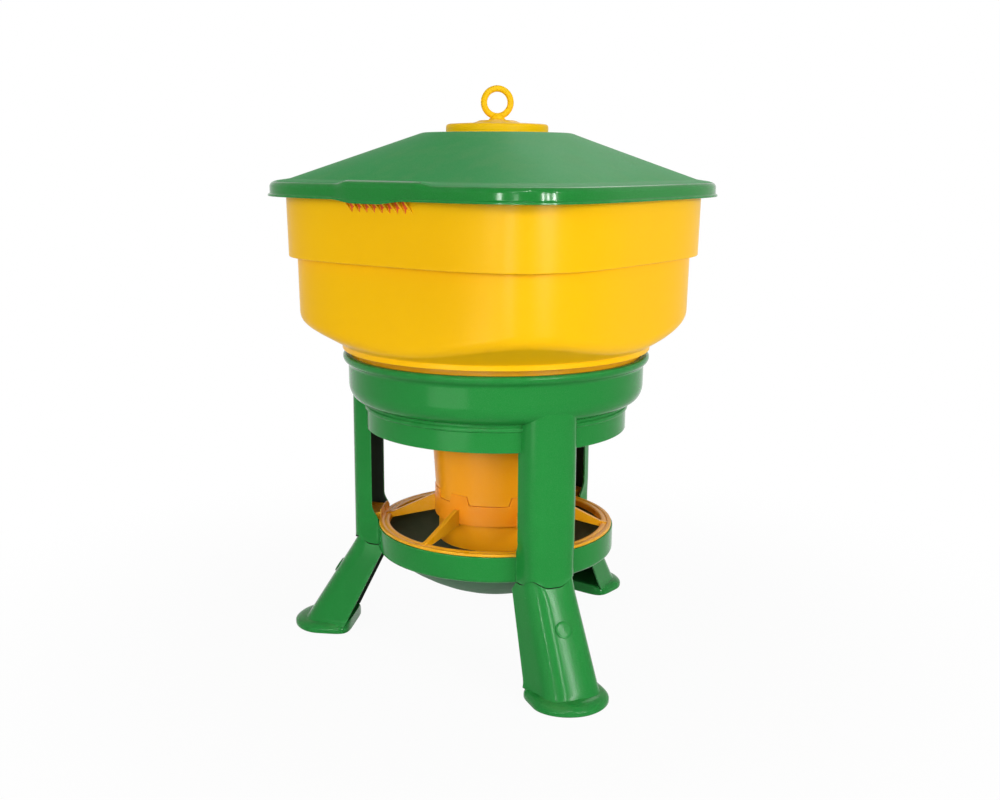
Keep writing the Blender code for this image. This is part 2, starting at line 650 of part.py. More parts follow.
def build_grille(material):
    """Ring on the pan's rim, hub round the tube's spigot, spokes, and lugs in the uprights."""
    outer = PAN_RADIUS - RING_INSET
    inner = outer - RING_WIDTH
    wall = PAN_RADIUS - PAN_RIM_WIDTH
    seat = SEAT_GAP
    top = seat + RING_HEIGHT
    skirt = seat - RING_SKIRT
    ring = [(outer, seat), (outer, top - 0.0012), (outer - 0.0012, top), (outer - 0.006, top),
            (outer - 0.0075, top - 0.0014), (outer - 0.0095, top - 0.0014), (outer - 0.011, top),
            (inner, top - 0.0005), (inner, skirt + 0.001), (inner + 0.0025, skirt + 0.001),
            (inner + 0.0025, seat), (wall - 0.0032, seat), (wall - 0.0028, skirt),
            (wall - SLIDE_GAP, skirt), (wall - SLIDE_GAP, seat)]
    hub_low = HUB_BASE - PAN_RIM
    hub_high = HUB_TOP - PAN_RIM
    hub = [(HUB_RADIUS - 0.0004, hub_low), (HUB_RADIUS, hub_low + 0.0004), (HUB_RADIUS, hub_high),
           (HUB_BORE, hub_high), (HUB_BORE, hub_low)]
    base = joined(turned(ring, LARGE_ROUND), turned(hub, MIDDLE_ROUND))
    grille = place("grille", finish_mesh("grille", *base), material, PAN_RIM)
    spoke_side = [(HUB_BORE + 0.4 * HUB_WALL, hub_low - 0.0015), (HUB_BORE + 0.4 * HUB_WALL,
                  hub_low - 0.0015 + SPOKE_HUB_HEIGHT), (inner - 0.001, top + 0.002),
                  (inner + 0.009, top + 0.0006), (inner + 0.009, top - 0.002),
                  (inner + 0.0012, seat - 0.003)]
    blades = []
    for i in range(SPOKE_COUNT):
        angle = FIRST_LEG_TURN + 2.0 * math.pi * i / SPOKE_COUNT - math.pi / 2.0
        along = Vector((math.cos(angle), math.sin(angle), 0.0))
        across = Vector((-along.y, along.x, 0.0)) * (SPOKE_THICKNESS / 2.0)
        rings = [[along * out + across * side + Vector((0.0, 0.0, PAN_RIM + up))
                  for out, up in spoke_side] for side in (-1.0, 1.0)]
        blades.append(skin(rings, False))
    shape_with(grille, tool("grille_spokes", finish_mesh("grille_spokes", *joined(*blades))), "UNION")
    low = PAN_RIM + seat
    lugs = [arc_block(outer - 0.002, outer + LUG_REACH, LUG_HALF_ANGLE, LUG_HALF_ANGLE, low + 0.0002,
                      low + LUG_HEIGHT, leg_turn(i)) for i in range(len(LEG_NAMES))]
    shape_with(grille, tool("grille_lugs", finish_mesh("grille_lugs", *joined(*lugs))), "UNION")
    fins = [arc_block(outer - 0.0028, outer - 0.0002, LUG_HALF_ANGLE - 0.01, LUG_HALF_ANGLE + 0.03,
                      low + 0.002, low + FIN_HEIGHT, leg_turn(i)) for i in range(len(LEG_NAMES))]
    shape_with(grille, tool("grille_fins", finish_mesh("grille_fins", *joined(*fins))), "UNION")
    notches = tab_shapes(HUB_RADIUS + 0.002, HUB_BORE - 0.002, TUBE_BASE - TAB_HEIGHT,
                         HUB_TOP + 0.002, SLIDE_GAP)
    shape_with(grille, tool("hub_notches", finish_mesh("hub_notches", *notches)), "DIFFERENCE")
    return grille


def build_funnel(material):
    """Band that stands on the collar's shoulder, with a cone down to the spout."""
    band = FUNNEL_RADIUS - WALL
    spout = THROAT_RADIUS - WALL
    under = WALL * 1.3
    foot = FUNNEL_SLOPE_FOOT
    profile = [(FUNNEL_RADIUS, FUNNEL_TOP), (FUNNEL_RADIUS, COLLAR_SEAT + SEAT_GAP),
               (band, COLLAR_SEAT + SEAT_GAP), (band, FUNNEL_SLOPE_TOP - under),
               (THROAT_RADIUS, foot - under + SEAT_GAP), (THROAT_RADIUS, foot - THROAT_LENGTH),
               (spout, foot - THROAT_LENGTH), (spout, foot + SEAT_GAP), (band, FUNNEL_SLOPE_TOP),
               (band, FUNNEL_TOP)]
    profile = [(radius, height - foot) for radius, height in profile]
    mesh = finish_mesh("funnel", *turned(profile, LARGE_ROUND))
    return place("funnel", mesh, material, foot)


def rib_shapes():
    """Wedge ribs on the two sides that carry the lid's grip pads."""
    wall = HOPPER_HALF_WIDTH + HOPPER_DRAFT
    face = LID_HALF_WIDTH - LID_LIP - WALL - RIB_LID_GAP
    high = HOPPER_TOP - 0.004
    foot = HOPPER_TOP - RIB_DROP
    side = [(wall - 0.5 * WALL, high), (face, high), (face, RIM_BASE - 0.003),
            (wall - 0.0005, foot), (wall - 0.5 * WALL, foot)]
    shapes = []
    for turn in (math.pi / 4.0, 5.0 * math.pi / 4.0):
        out = Vector((math.cos(turn), math.sin(turn), 0.0))
        across = Vector((-out.y, out.x, 0.0))
        for i in range(RIB_COUNT):
            middle = RIB_SHIFT + RIB_PITCH * (i - (RIB_COUNT - 1) / 2.0)
            rings = [[out * reach + across * (middle + edge) + Vector((0.0, 0.0, height))
                      for reach, height in side] for edge in (-RIB_THICKNESS / 2.0, RIB_THICKNESS / 2.0)]
            shapes.append(skin(rings, False))
    return joined(*shapes)


def build_hopper(material):
    """Stepped rounded-square bin with a sloping bottom and a round neck on the funnel's band."""
    square = HOPPER_SQUARENESS
    wide = HOPPER_HALF_WIDTH
    waist = wide - HOPPER_STEP
    spigot = FUNNEL_RADIUS - WALL - SEAT_GAP

    def level(half, squareness, height):
        return outline(half, squareness, height - NECK_BASE, LARGE_ROUND)

    def sloped(half, rise):
        return [Vector((x, y, z + BOTTOM_SLOPE * (math.hypot(x, y) - NECK_RADIUS)))
                for x, y, z in level(half, square, NECK_TOP + rise)]

    inside = waist - WALL
    rings = [level(wide + HOPPER_DRAFT, square, HOPPER_TOP),
             level(wide, square, STEP_HEIGHT + 0.002),
             level(wide - 0.002, square, STEP_HEIGHT),
             level(waist, square, STEP_HEIGHT - 0.002),
             sloped(waist - 0.001, BELLY_FILLET),
             sloped(waist - 0.0025, 0.45 * BELLY_FILLET),
             sloped(waist - 0.008, 0.0),
             level(NECK_RADIUS, 2.0, NECK_TOP),
             level(NECK_RADIUS, 2.0, NECK_BASE),
             level(spigot, 2.0, NECK_BASE),
             level(spigot, 2.0, NECK_BASE - HOPPER_SPIGOT),
             level(spigot - WALL, 2.0, NECK_BASE - HOPPER_SPIGOT),
             level(spigot - WALL, 2.0, NECK_BASE + WALL),
             level(NECK_RADIUS - WALL, 2.0, NECK_TOP + 0.002),
             sloped(inside - 0.009, BOTTOM_WALL),
             sloped(inside - 0.003, BOTTOM_WALL + 0.45 * BELLY_FILLET),
             sloped(inside - 0.0015, BOTTOM_WALL + BELLY_FILLET),
             level(inside - 0.001, square, STEP_HEIGHT - 0.001),
             level(wide - WALL, square, STEP_HEIGHT + 0.003),
             level(wide + HOPPER_DRAFT - WALL, square, HOPPER_TOP)]
    mesh = finish_mesh("hopper", *skin(rings, True))
    hopper = place("hopper", mesh, material, NECK_BASE)
    shape_with(hopper, tool("hopper_ribs", finish_mesh("hopper_ribs", *rib_shapes())), "UNION")
    return hopper


def build_lid(material):
    """Cover that slopes up to a round flat with the filler hole; grip pads on two opposite sides."""
    lip = LID_HALF_WIDTH
    rim = lip - LID_LIP
    ledge = rim - 0.004
    slope = ledge - LEDGE_WIDTH
    slope_height = RIM_TOP + LEDGE_WIDTH / 6.0
    square = LID_SQUARENESS

    def pad(rise):
        return lambda share: (PAD_THICKNESS * share, rise * share)

    skins = [(lip, square, RIM_BASE, pad(-PAD_RISE)), (lip, square, RIM_BASE + 0.003, pad(-PAD_RISE)),
             (rim, square, RIM_BASE + 0.005, pad(-PAD_RISE)),
             (rim - 0.0005, square, RIM_TOP - 0.0045, pad(PAD_RISE)),
             (rim - 0.0015, square, RIM_TOP - 0.0015, pad(PAD_RISE)),
             (ledge, square, RIM_TOP, pad(PAD_RISE)), (slope, square, slope_height, None),
             (PLATEAU_RADIUS, 2.0, PLATEAU_HEIGHT, None), (FILLER_RADIUS, 2.0, PLATEAU_HEIGHT, None),
             (FILLER_RADIUS, 2.0, PLATEAU_HEIGHT - WALL, None),
             (PLATEAU_RADIUS - 0.001, 2.0, PLATEAU_HEIGHT - WALL, None),
             (slope - 0.001, square, LID_SEAT, None), (rim - WALL, square, LID_SEAT, None),
             (rim - WALL, square, RIM_BASE, None)]
    rings = [outline(half, squareness, height - LID_SEAT, LID_ROUND, swell)
             for half, squareness, height, swell in skins]
    mesh = finish_mesh("lid", *skin(rings, True))
    return place("lid", mesh, material, LID_SEAT)


def build_cap(material):
    """Round cap with a plug in the filler hole and a bored boss for the pull ring."""
    bore = SHANK_RADIUS + SLIDE_GAP
    plug = FILLER_RADIUS - SLIDE_GAP
    top = CAP_HEIGHT
    under = top - WALL
    skirt = CAP_RADIUS - WALL
    profile = [(bore, top + HUMP_HEIGHT), (HUMP_RADIUS - 0.009, top + HUMP_HEIGHT),
               (HUMP_RADIUS - 0.003, top + 0.45 * HUMP_HEIGHT), (HUMP_RADIUS, top),
               (CAP_RADIUS - CAP_ROUND, top), (CAP_RADIUS - 0.3 * CAP_ROUND, top - 0.3 * CAP_ROUND),
               (CAP_RADIUS, top - CAP_ROUND), (CAP_RADIUS, 0.0), (skirt, 0.0), (skirt, under),
               (plug, under), (plug - 0.0005, -PLUG_DEPTH), (plug - 0.0005 - WALL, -PLUG_DEPTH),
               (plug - WALL, under), (BOSS_RADIUS, under), (BOSS_RADIUS, under - BOSS_HEIGHT),
               (bore, under - BOSS_HEIGHT)]
    mesh = finish_mesh("filler_cap", *turned(profile, MIDDLE_ROUND))
    return place("filler_cap", mesh, material, CAP_SEAT)


def build_pull_ring(material):
    """Finger ring with a shank through the cap and a groove for its clip."""
    boss_foot = CAP_SEAT + CAP_HEIGHT - WALL - BOSS_HEIGHT - EYE_SEAT
    groove_foot = boss_foot - CLIP_THICKNESS - 2.0 * SEAT_GAP
    middle = EYE_RADIUS + EYE_BAR + 0.0008
    bar = []
    for i in range(SOLE_ROUND):
        turn = 2.0 * math.pi * i / SOLE_ROUND
        out = Vector((math.cos(turn), 0.0, math.sin(turn)))
        centre = out * EYE_RADIUS + Vector((0.0, 0.0, middle))
        bar.append([centre + EYE_BAR * (out * math.cos(a) + Vector((0.0, math.sin(a), 0.0)))
                    for a in (2.0 * math.pi * k / 10 for k in range(10))])
    ring = place("pull_ring", finish_mesh("pull_ring", *skin(bar, True)), material, EYE_SEAT)
    shank = [(SHANK_RADIUS, groove_foot - 0.005), (SHANK_RADIUS, groove_foot),
             (SHANK_RADIUS - CLIP_GROOVE, groove_foot), (SHANK_RADIUS - CLIP_GROOVE, boss_foot),
             (SHANK_RADIUS, boss_foot), (SHANK_RADIUS, 0.0), (SHANK_FLANGE, 0.0),
             (SHANK_FLANGE, 0.0015), (0.72 * SHANK_FLANGE, 0.0050), (0.35 * SHANK_FLANGE, 0.0075)]
    neck = tool("ring_shank", finish_mesh("ring_shank", *turned(shank, SMALL_ROUND, wrap=False)))
    neck.location.z = EYE_SEAT
    shape_with(ring, neck, "UNION")
    return ring


def build_clip(material):
    """Open spring clip in the shank's groove, under the cap's boss."""
    foot = CAP_SEAT + CAP_HEIGHT - WALL - BOSS_HEIGHT - SEAT_GAP - CLIP_THICKNESS
    half = math.radians(155.0)
    shape = arc_block(SHANK_RADIUS - CLIP_GROOVE + SEAT_GAP, CLIP_RADIUS, half, half, 0.0,
                      CLIP_THICKNESS, math.pi, 18)
    return place("ring_clip", finish_mesh("ring_clip", *shape), material, foot)


def build_feeder():
    """Build every piece from the floor upward."""
    green = moulded("green_plastic", (0.027, 0.262, 0.054), 0.38)
    dark_green = moulded("pan_green_plastic", (0.025, 0.240, 0.050), 0.42)
    yellow = moulded("yellow_plastic", (0.890, 0.470, 0.010), 0.35)
    orange = moulded("orange_plastic", (0.760, 0.320, 0.018), 0.40)
    steel = moulded("clip_steel", (0.560, 0.570, 0.580), 0.30)
    steel.node_tree.nodes["Principled BSDF"].inputs["Metallic"].default_value = 1.0
    build_legs(green)
    build_pan(dark_green)
    build_cone(orange)
    build_collar(green)
    build_grille(orange)
    build_tube(orange)
    build_funnel(orange)
    build_hopper(yellow)
    build_lid(green)
    build_cap(yellow)
    build_pull_ring(yellow)
    build_clip(steel)


clear_scene()
build_feeder()
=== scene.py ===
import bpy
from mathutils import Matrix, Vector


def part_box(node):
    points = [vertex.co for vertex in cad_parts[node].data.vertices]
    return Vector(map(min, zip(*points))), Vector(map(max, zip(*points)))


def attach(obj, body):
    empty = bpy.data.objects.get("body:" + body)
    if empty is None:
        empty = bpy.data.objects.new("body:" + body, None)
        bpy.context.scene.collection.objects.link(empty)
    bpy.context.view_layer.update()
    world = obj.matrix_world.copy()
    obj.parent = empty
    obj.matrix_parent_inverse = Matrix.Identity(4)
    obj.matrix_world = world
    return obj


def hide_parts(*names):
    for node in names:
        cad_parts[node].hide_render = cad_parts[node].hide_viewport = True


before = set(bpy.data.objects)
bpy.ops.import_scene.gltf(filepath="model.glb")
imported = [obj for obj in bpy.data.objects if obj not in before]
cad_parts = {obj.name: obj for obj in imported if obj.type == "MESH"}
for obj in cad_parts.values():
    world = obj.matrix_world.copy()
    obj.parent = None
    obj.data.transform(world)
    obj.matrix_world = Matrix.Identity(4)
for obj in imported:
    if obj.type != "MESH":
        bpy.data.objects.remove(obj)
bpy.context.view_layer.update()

import math

import bmesh
import bpy
import numpy as np
from mathutils import Matrix, Vector

# Feed pan: a round tray with a low wall and a dished floor, moulded in green plastic. Small brackets
# carry it between the uprights. Its wall is glossy outside and the dish is matt below; its inside is a dull
# grey-green that is painted shade for the hollow of the pan.
pan_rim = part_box("feed_pan")[1].z
pan_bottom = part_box("feed_pan")[0].z
pan_radius = 0.183
pan_wall_height = 0.0385
pan_foot = pan_rim - pan_wall_height
pan_inside = pan_radius - 0.004
dish_depth = pan_foot - pan_bottom + 0.00015
dish_edge = pan_radius - 0.0106
dish_wall = 0.0035
dish_out = 0.170
bracket_in = 0.181
bracket_angle = math.radians(5.3)
stand_reach = 0.221
front_leg_bearing = 14.0
leg_turns = [math.radians(front_leg_bearing - 120.0 * i) for i in range(3)]


def circle(radius, height, count=192):
    """Level ring of points round the hopper's axis."""
    turn = np.linspace(0.0, 2.0 * math.pi, count, endpoint=False)
    return np.stack([radius * np.cos(turn), radius * np.sin(turn), np.full(count, height)], axis=1)


def toward(ring, other, cut):
    """Steps from a ring's points toward another ring's, as long as the cut but under half of the way."""
    way = other - ring
    length = np.maximum(np.linalg.norm(way, axis=1), 1e-9)
    return way * np.minimum(cut / length, 0.49)[:, None]


def eased(corners, steps=5, wrap=False):
    """Rings through (ring, cut) corners; cut is how far back from the corner its rounding starts."""
    rings = []
    last = len(corners) - 1
    for i, (ring, cut) in enumerate(corners):
        if not cut or (not wrap and i in (0, last)):
            rings.append(ring)
            continue
        back = toward(ring, corners[i - 1][0], cut)
        ahead = toward(ring, corners[(i + 1) % (last + 1)][0], cut)
        for s in np.linspace(0.0, 1.0, steps + 1):
            rings.append(ring + back * (1.0 - s) ** 2 + ahead * s ** 2)
    return rings


class Shell:
    """Points and faces of a piece while it is shaped; each face has the number of its finish."""

    def __init__(self):
        self.points = np.zeros((0, 3))
        self.faces = []
        self.finish = []

    def lay(self, rings, finish=0, wrap=False, ends=False):
        """Faces from ring to ring. finish is one number, or one for each side of a ring."""
        start = len(self.points)
        count = len(rings[0])
        self.points = np.concatenate([self.points] + list(rings))
        numbers = [finish] * count if isinstance(finish, int) else list(finish)
        for i in range(len(rings) if wrap else len(rings) - 1):
            low = start + i * count
            high = start + (i + 1) % len(rings) * count
            for j in range(count):
                k = (j + 1) % count
                self.faces.append((low + j, low + k, high + k, high + j))
            self.finish += numbers
        if ends:
            for first in (start, start + (len(rings) - 1) * count):
                self.faces.append(tuple(range(first, first + count)))
                self.finish.append(numbers[0])
        return self

    def lathe(self, profile, wrap=True, count=192):
        """Turned shape from (radius, height, cut) corners."""
        corners = [(circle(radius, height, count), cut) for radius, height, cut in profile]
        return self.lay(eased(corners, wrap=wrap), wrap=wrap, ends=not wrap)

    def prism(self, side, half_width, finish=0):
        """Plate with a (outward, height) side view, half_width to each side of the -Y direction."""
        rings = [np.array([(across, -outward, height) for outward, height in side])
                 for across in (-half_width, half_width)]
        return self.lay(rings, finish, ends=True)

    def arc(self, inner, outer, half_angle, bottom, top, low_angle=None):
        """Piece of a ring, centred on the -Y direction; low_angle is its half angle at the bottom."""
        rings = []
        for share in np.linspace(-1.0, 1.0, 11):
            low = share * (half_angle if low_angle is None else low_angle)
            high = share * half_angle
            rings.append(np.array([(r * math.sin(a), -r * math.cos(a), z) for r, a, z in (
                (inner, low, bottom), (outer, low, bottom), (outer, high, top), (inner, high, top))]))
        return self.lay(rings, ends=True)

    def moved(self, matrix):
        """Turn and shift every point."""
        matrix = np.array(matrix)
        self.points = self.points @ matrix[:3, :3].T + matrix[:3, 3]
        return self

    def turned(self, angle):
        """Turn every point round the hopper's axis."""
        return self.moved(Matrix.Rotation(angle, 4, "Z"))

    def take(self, other):
        """Add another shell to this one."""
        start = len(self.points)
        self.points = np.concatenate([self.points, other.points])
        self.faces += [tuple(start + i for i in face) for face in other.faces]
        self.finish += other.finish
        return self

    def zone(self, rule):
        """Number each face's finish by its middle: rule(radius, height, x, y) gives the numbers."""
        middles = np.array([self.points[list(face)].mean(axis=0) for face in self.faces])
        radius = np.hypot(middles[:, 0], middles[:, 1])
        self.finish = [int(n) for n in rule(radius, middles[:, 2], middles[:, 0], middles[:, 1])]
        return self


def piece(name, shell, finishes, body, nodes=(), edge_round=0.0, sharp=35.0):
    """Object of a shell. The bend of its surface is kept at every point, for the wear on its edges."""
    closest = 0.0004
    tightest_bend = 0.0012
    mesh = bpy.data.meshes.new(name)
    mesh.from_pydata(shell.points.tolist(), [], shell.faces)
    mesh.polygons.foreach_set("material_index", shell.finish)
    for finish in finishes:
        mesh.materials.append(finish.material)
    work = bmesh.new()
    work.from_mesh(mesh)
    bmesh.ops.recalc_face_normals(work, faces=work.faces)
    bend = work.verts.layers.float.new("bend")
    middles = {face: face.calc_center_median() for face in work.faces}
    for edge in work.edges:
        if len(edge.link_faces) == 2:
            one, two = edge.link_faces
            apart = max((middles[one] - middles[two]).length, closest)
            curve = min(max(edge.calc_face_angle_signed(0.0) / apart * tightest_bend, 0.0), 1.0)
            for vertex in edge.verts:
                vertex[bend] = max(vertex[bend], curve)
    work.to_mesh(mesh)
    work.free()
    mesh.shade_smooth()
    mesh.set_sharp_from_angle(angle=math.radians(sharp))
    item = bpy.data.objects.new(name, mesh)
    bpy.context.collection.objects.link(item)
    if edge_round:
        bevel = item.modifiers.new("edge_round", "BEVEL")
        bevel.width = edge_round
        bevel.segments = 3
        bevel.limit_method = "ANGLE"
        bevel.angle_limit = math.radians(40.0)
        bevel.use_clamp_overlap = True
    even = item.modifiers.new("even", "WEIGHTED_NORMAL")
    even.keep_sharp = True
    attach(item, body)
    if nodes:
        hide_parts(*nodes)


class Signal:
    """Number that a shader node gives. A sum written with it adds the Math nodes it needs."""

    def __init__(self, tree, socket):
        self.tree = tree
        self.socket = socket

    def reckon(self, operation, *terms):
        """Math node for one operation on signals and plain numbers."""
        node = self.tree.nodes.new("ShaderNodeMath")
        node.operation = operation
        for slot, term in zip(node.inputs, terms):
            if isinstance(term, Signal):
                self.tree.links.new(term.socket, slot)
            else:
                slot.default_value = term
        return Signal(self.tree, node.outputs[0])

    def __add__(self, other):
        return self.reckon("ADD", self, other)

    __radd__ = __add__

    def __sub__(self, other):
        return self.reckon("SUBTRACT", self, other)

    def __mul__(self, other):
        return self.reckon("MULTIPLY", self, other)


def paint(red, green, blue):
    """Colour as the eye reads it, 0 to 255, in the shader's own numbers."""
    parts = [c / 255.0 for c in (red, green, blue)]
    return tuple(c / 12.92 if c <= 0.04045 else ((c + 0.055) / 1.055) ** 2.4 for c in parts) + (1.0,)


class Finish:
    """Material while it is mixed: its shader, and the one way to add a node."""

    def __init__(self, name, **sockets):
        self.material = bpy.data.materials.new(name)
        self.material.use_nodes = True
        self.tree = self.material.node_tree
        self.shader = self.tree.nodes["Principled BSDF"]
        for socket, value in sockets.items():
            self.shader.inputs[socket.replace("_", " ")].default_value = value

    def add(self, kind, settings=None, values=None, output=0):
        """Node of a kind: its settings first, then the values or links of its sockets."""
        node = self.tree.nodes.new(kind)
        for key, value in (settings or {}).items():
            setattr(node, key, value)
        for key, value in (values or {}).items():
            self.give(node.inputs[key], value)
        return Signal(self.tree, node.outputs[output])

    def give(self, socket, value):
        """Link a signal to a socket, or set the socket to a plain value."""
        if isinstance(value, Signal):
            self.tree.links.new(value.socket, socket)
        else:
            socket.default_value = value

    def feed(self, **sockets):
        """Signals or values for the shader's own sockets."""
        for socket, value in sockets.items():
            self.give(self.shader.inputs[socket.replace("_", " ")], value)

    def spot(self, stretch=(1.0, 1.0, 1.0), turn=(0.0, 0.0, 0.0)):
        """Place on the piece in metres, stretched and turned for a pattern."""
        spot = self.add("ShaderNodeTexCoord", output="Object")
        return self.add("ShaderNodeMapping", None, {"Vector": spot, "Scale": stretch, "Rotation": turn})

    def noise(self, spot, scale, detail=2.0, roughness=0.5, distortion=0.0):
        """Cloudy pattern with this many clouds to a metre."""
        return self.add("ShaderNodeTexNoise", None, {"Vector": spot, "Scale": scale, "Detail": detail,
                                                     "Roughness": roughness, "Distortion": distortion})

    def span(self, signal, low, high):
        """0 below low, 1 above high, eased between."""
        return self.add("ShaderNodeMapRange", {"interpolation_type": "SMOOTHSTEP"},
                        {"Value": signal, "From Min": low, "From Max": high})

    def blend(self, share, base, other):
        """Colour between two colours."""
        return self.add("ShaderNodeMix", {"data_type": "RGBA"}, {0: share, 6: base, 7: other}, output=2)

    def up(self):
        """1 where the surface looks straight up, -1 where it looks down."""
        normal = self.add("ShaderNodeTexCoord", output="Normal")
        return self.add("ShaderNodeSeparateXYZ", None, {"Vector": normal}, output=2)

    def bend(self):
        """1 on a tight outer edge, 0 on a flat or hollow place."""
        return self.add("ShaderNodeAttribute", {"attribute_name": "bend"}, output="Fac")

    def relief(self, height, depth):
        """Bump from a height signal; depth is its full height in metres."""
        self.feed(Normal=self.add("ShaderNodeBump", None, {"Height": height, "Distance": depth}))
        return self


def moulded(name, colour, deep, pale, gloss, dust=0.06, peel=0.00002, grain=0.0,
            stretch=(1.0, 1.0, 3.0), specular=0.28, speckle=0.10):
    """Injection moulded plastic: drifting pigment, flow lines, a moulded skin, rubbed edges and dust.

    gloss is the roughness of clean plastic, peel the depth of its skin, and grain how strong a fine
    texture is in it.
    """
    finish = Finish(name, IOR=1.49, Specular_IOR_Level=specular)
    spot = finish.spot()
    flow = finish.noise(finish.spot(stretch), 9.0, 4.0, 0.6, 0.6)
    cloud = finish.noise(spot, 5.0, 3.0)
    speck = finish.noise(spot, 900.0, 2.0)
    scratch = finish.span(finish.noise(finish.spot((30.0, 30.0, 260.0), (0.5, 0.3, 0.4)), 2.2, 3.0, 0.6),
                          0.66, 0.78)
    scratch = scratch * finish.span(finish.noise(spot, 11.0, 2.0), 0.5, 0.68)
    tone = finish.blend(finish.span(cloud * 0.6 + flow * 0.4, 0.0, 1.0), deep, colour)
    tone = finish.blend(finish.span(speck, 0.35, 0.75) * speckle, tone, pale)
    rub = finish.bend() * finish.span(finish.noise(spot, 60.0, 3.0), 0.3, 0.7)
    tone = finish.blend(rub * 0.35 + scratch * 0.22, tone, pale)
    powder = finish.span(finish.up(), 0.35, 0.95) * finish.span(finish.noise(spot, 24.0, 5.0, 0.6), 0.38, 0.7)
    tone = finish.blend(powder * dust, tone, paint(196, 188, 160))
    rough = gloss + cloud * 0.06 + flow * 0.05 + rub * 0.12 + scratch * 0.2 + powder * (dust * 0.8)
    finish.feed(Base_Color=tone, Roughness=rough)
    waves = finish.noise(spot, 38.0, 1.0) * 0.7 + finish.noise(spot, 11.0, 0.0) * 2.0
    skin = finish.noise(spot, 420.0, 1.0) * 0.05
    if grain:
        skin = skin + finish.noise(spot, 760.0, 2.0, 0.6) * grain
    return finish.relief(waves + skin - scratch * 0.05, peel)


def pan_dish(radius):
    """Height of the underside of the pan's dish."""
    return pan_foot + dish_depth * ((radius / dish_edge) ** 2 - 1.0)


stand_green = moulded("stand_green", paint(31, 134, 55), paint(26, 126, 50), paint(95, 170, 110), 0.10,
                      dust=0.05, specular=0.10)
dull_green = moulded("dull_green", paint(56, 106, 68), paint(48, 96, 60), paint(90, 130, 95), 0.55,
                     dust=0.05, grain=0.3, specular=0.2)
# Painted shade: a dull grey-green for the inside of the pan, which lies in shade.
pan_green = moulded("pan_green", paint(88, 104, 82), paint(76, 90, 70), paint(110, 124, 104), 0.6, dust=0.06,
                    grain=0.3, specular=0.15)
# Painted shade: a near-black green that stands for the shade inside the channels of the uprights and feet.
painted_shade_green = moulded("painted_shade_green", paint(24, 46, 28), paint(19, 37, 22), paint(60, 80, 60), 0.6,
                     dust=0.03, grain=0.3, specular=0.15)

dish_steps = [0.001, 0.02, 0.04, 0.06, 0.08, 0.10, 0.12, 0.14, 0.155, 0.165]
pan_profile = [(r, pan_dish(r) + dish_wall, 0.0) for r in dish_steps]
pan_profile += [(pan_inside - 0.001, pan_foot + 0.004, 0.006), (pan_inside, pan_rim, 0.0012),
                (pan_radius, pan_rim, 0.0012), (pan_radius, pan_foot, 0.0065),
                (dish_out, pan_foot - 0.0005, 0.004)]
pan_profile += [(r, pan_dish(r), 0.0) for r in reversed(dish_steps)]
pan_shell = Shell().lathe(pan_profile, wrap=False, count=256)
# Finish 1 is the painted shade inside the pan, finish 2 the dish's underside.
pan_shell.zone(lambda r, z, x, y: np.where(
    (r < pan_inside + 0.0003) & (z > pan_dish(r) + 0.0008), 1,
    np.where((r < dish_out + 0.001) & (z < pan_foot), 2, 0)))
for turn in leg_turns:
    bracket = Shell().arc(bracket_in, stand_reach - 0.0035, bracket_angle, pan_rim - 0.008, pan_rim - 0.0005)
    pan_shell.take(bracket.turned(turn))
piece("pan", pan_shell, [stand_green, pan_green, dull_green], "stand", ["feed_pan"],
      edge_round=0.0008)

# Spreader cone: a hollow cone of orange plastic that stands on the pan's floor under the tube and
# pushes the feed outward. It is rubbed pale by the feed that slides over it.
cone_low, cone_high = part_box("spreader_cone")
feed_orange = moulded("feed_orange", paint(255, 172, 10), paint(250, 158, 10), paint(255, 200, 90), 0.28,
                      dust=0.05, stretch=(1.0, 1.0, 0.4), specular=0.18)
cone_wall = 0.0024
cone_radius = 0.070
cone_tip = cone_high.z - 0.003
cone_profile = [
    (0.0005, cone_high.z - cone_wall, 0.0), (0.013, cone_tip - cone_wall, 0.004),
    (cone_radius - cone_wall, cone_low.z, 0.0006), (cone_radius, cone_low.z, 0.0006),
    (cone_radius, cone_low.z + 0.0015, 0.001), (0.014, cone_tip, 0.006), (0.0005, cone_high.z, 0.0)]
piece("spreader", Shell().lathe(cone_profile, wrap=False), [feed_orange], "stand",
      ["spreader_cone"])

# Uprights: three green channels, open toward the middle, that join the pan to the collar. Each has a
# bowed face with soft corners, flanges that widen at the pan, and a tongue that runs down inside its foot.
# Their inner faces, end faces and tongues carry painted shade, a near-black green.
seam_height = pan_foot + 0.0015
web_half = 0.035
splay = math.radians(32.0)
stand_wall = 0.0032
seam_gap = 0.0016
wave_rise = 0.011
wave_width = 0.028
flange_edge = 0.192
collar_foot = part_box("stand_collar")[0].z
legs = list(zip(("front", "left", "rear"), leg_turns))


def at_distance(distance):
    """Flange edge at this distance from the hopper's axis."""
    def edge(corner, inward):
        near = -corner.dot(inward)
        return corner + inward * (near - math.sqrt(near ** 2 - corner.dot(corner) + distance ** 2))
    return edge


def at_face(outward):
    """Flange edge this far out, measured along the leg's direction."""
    return lambda corner, inward: corner + inward * ((outward - corner[1]) / inward[1])


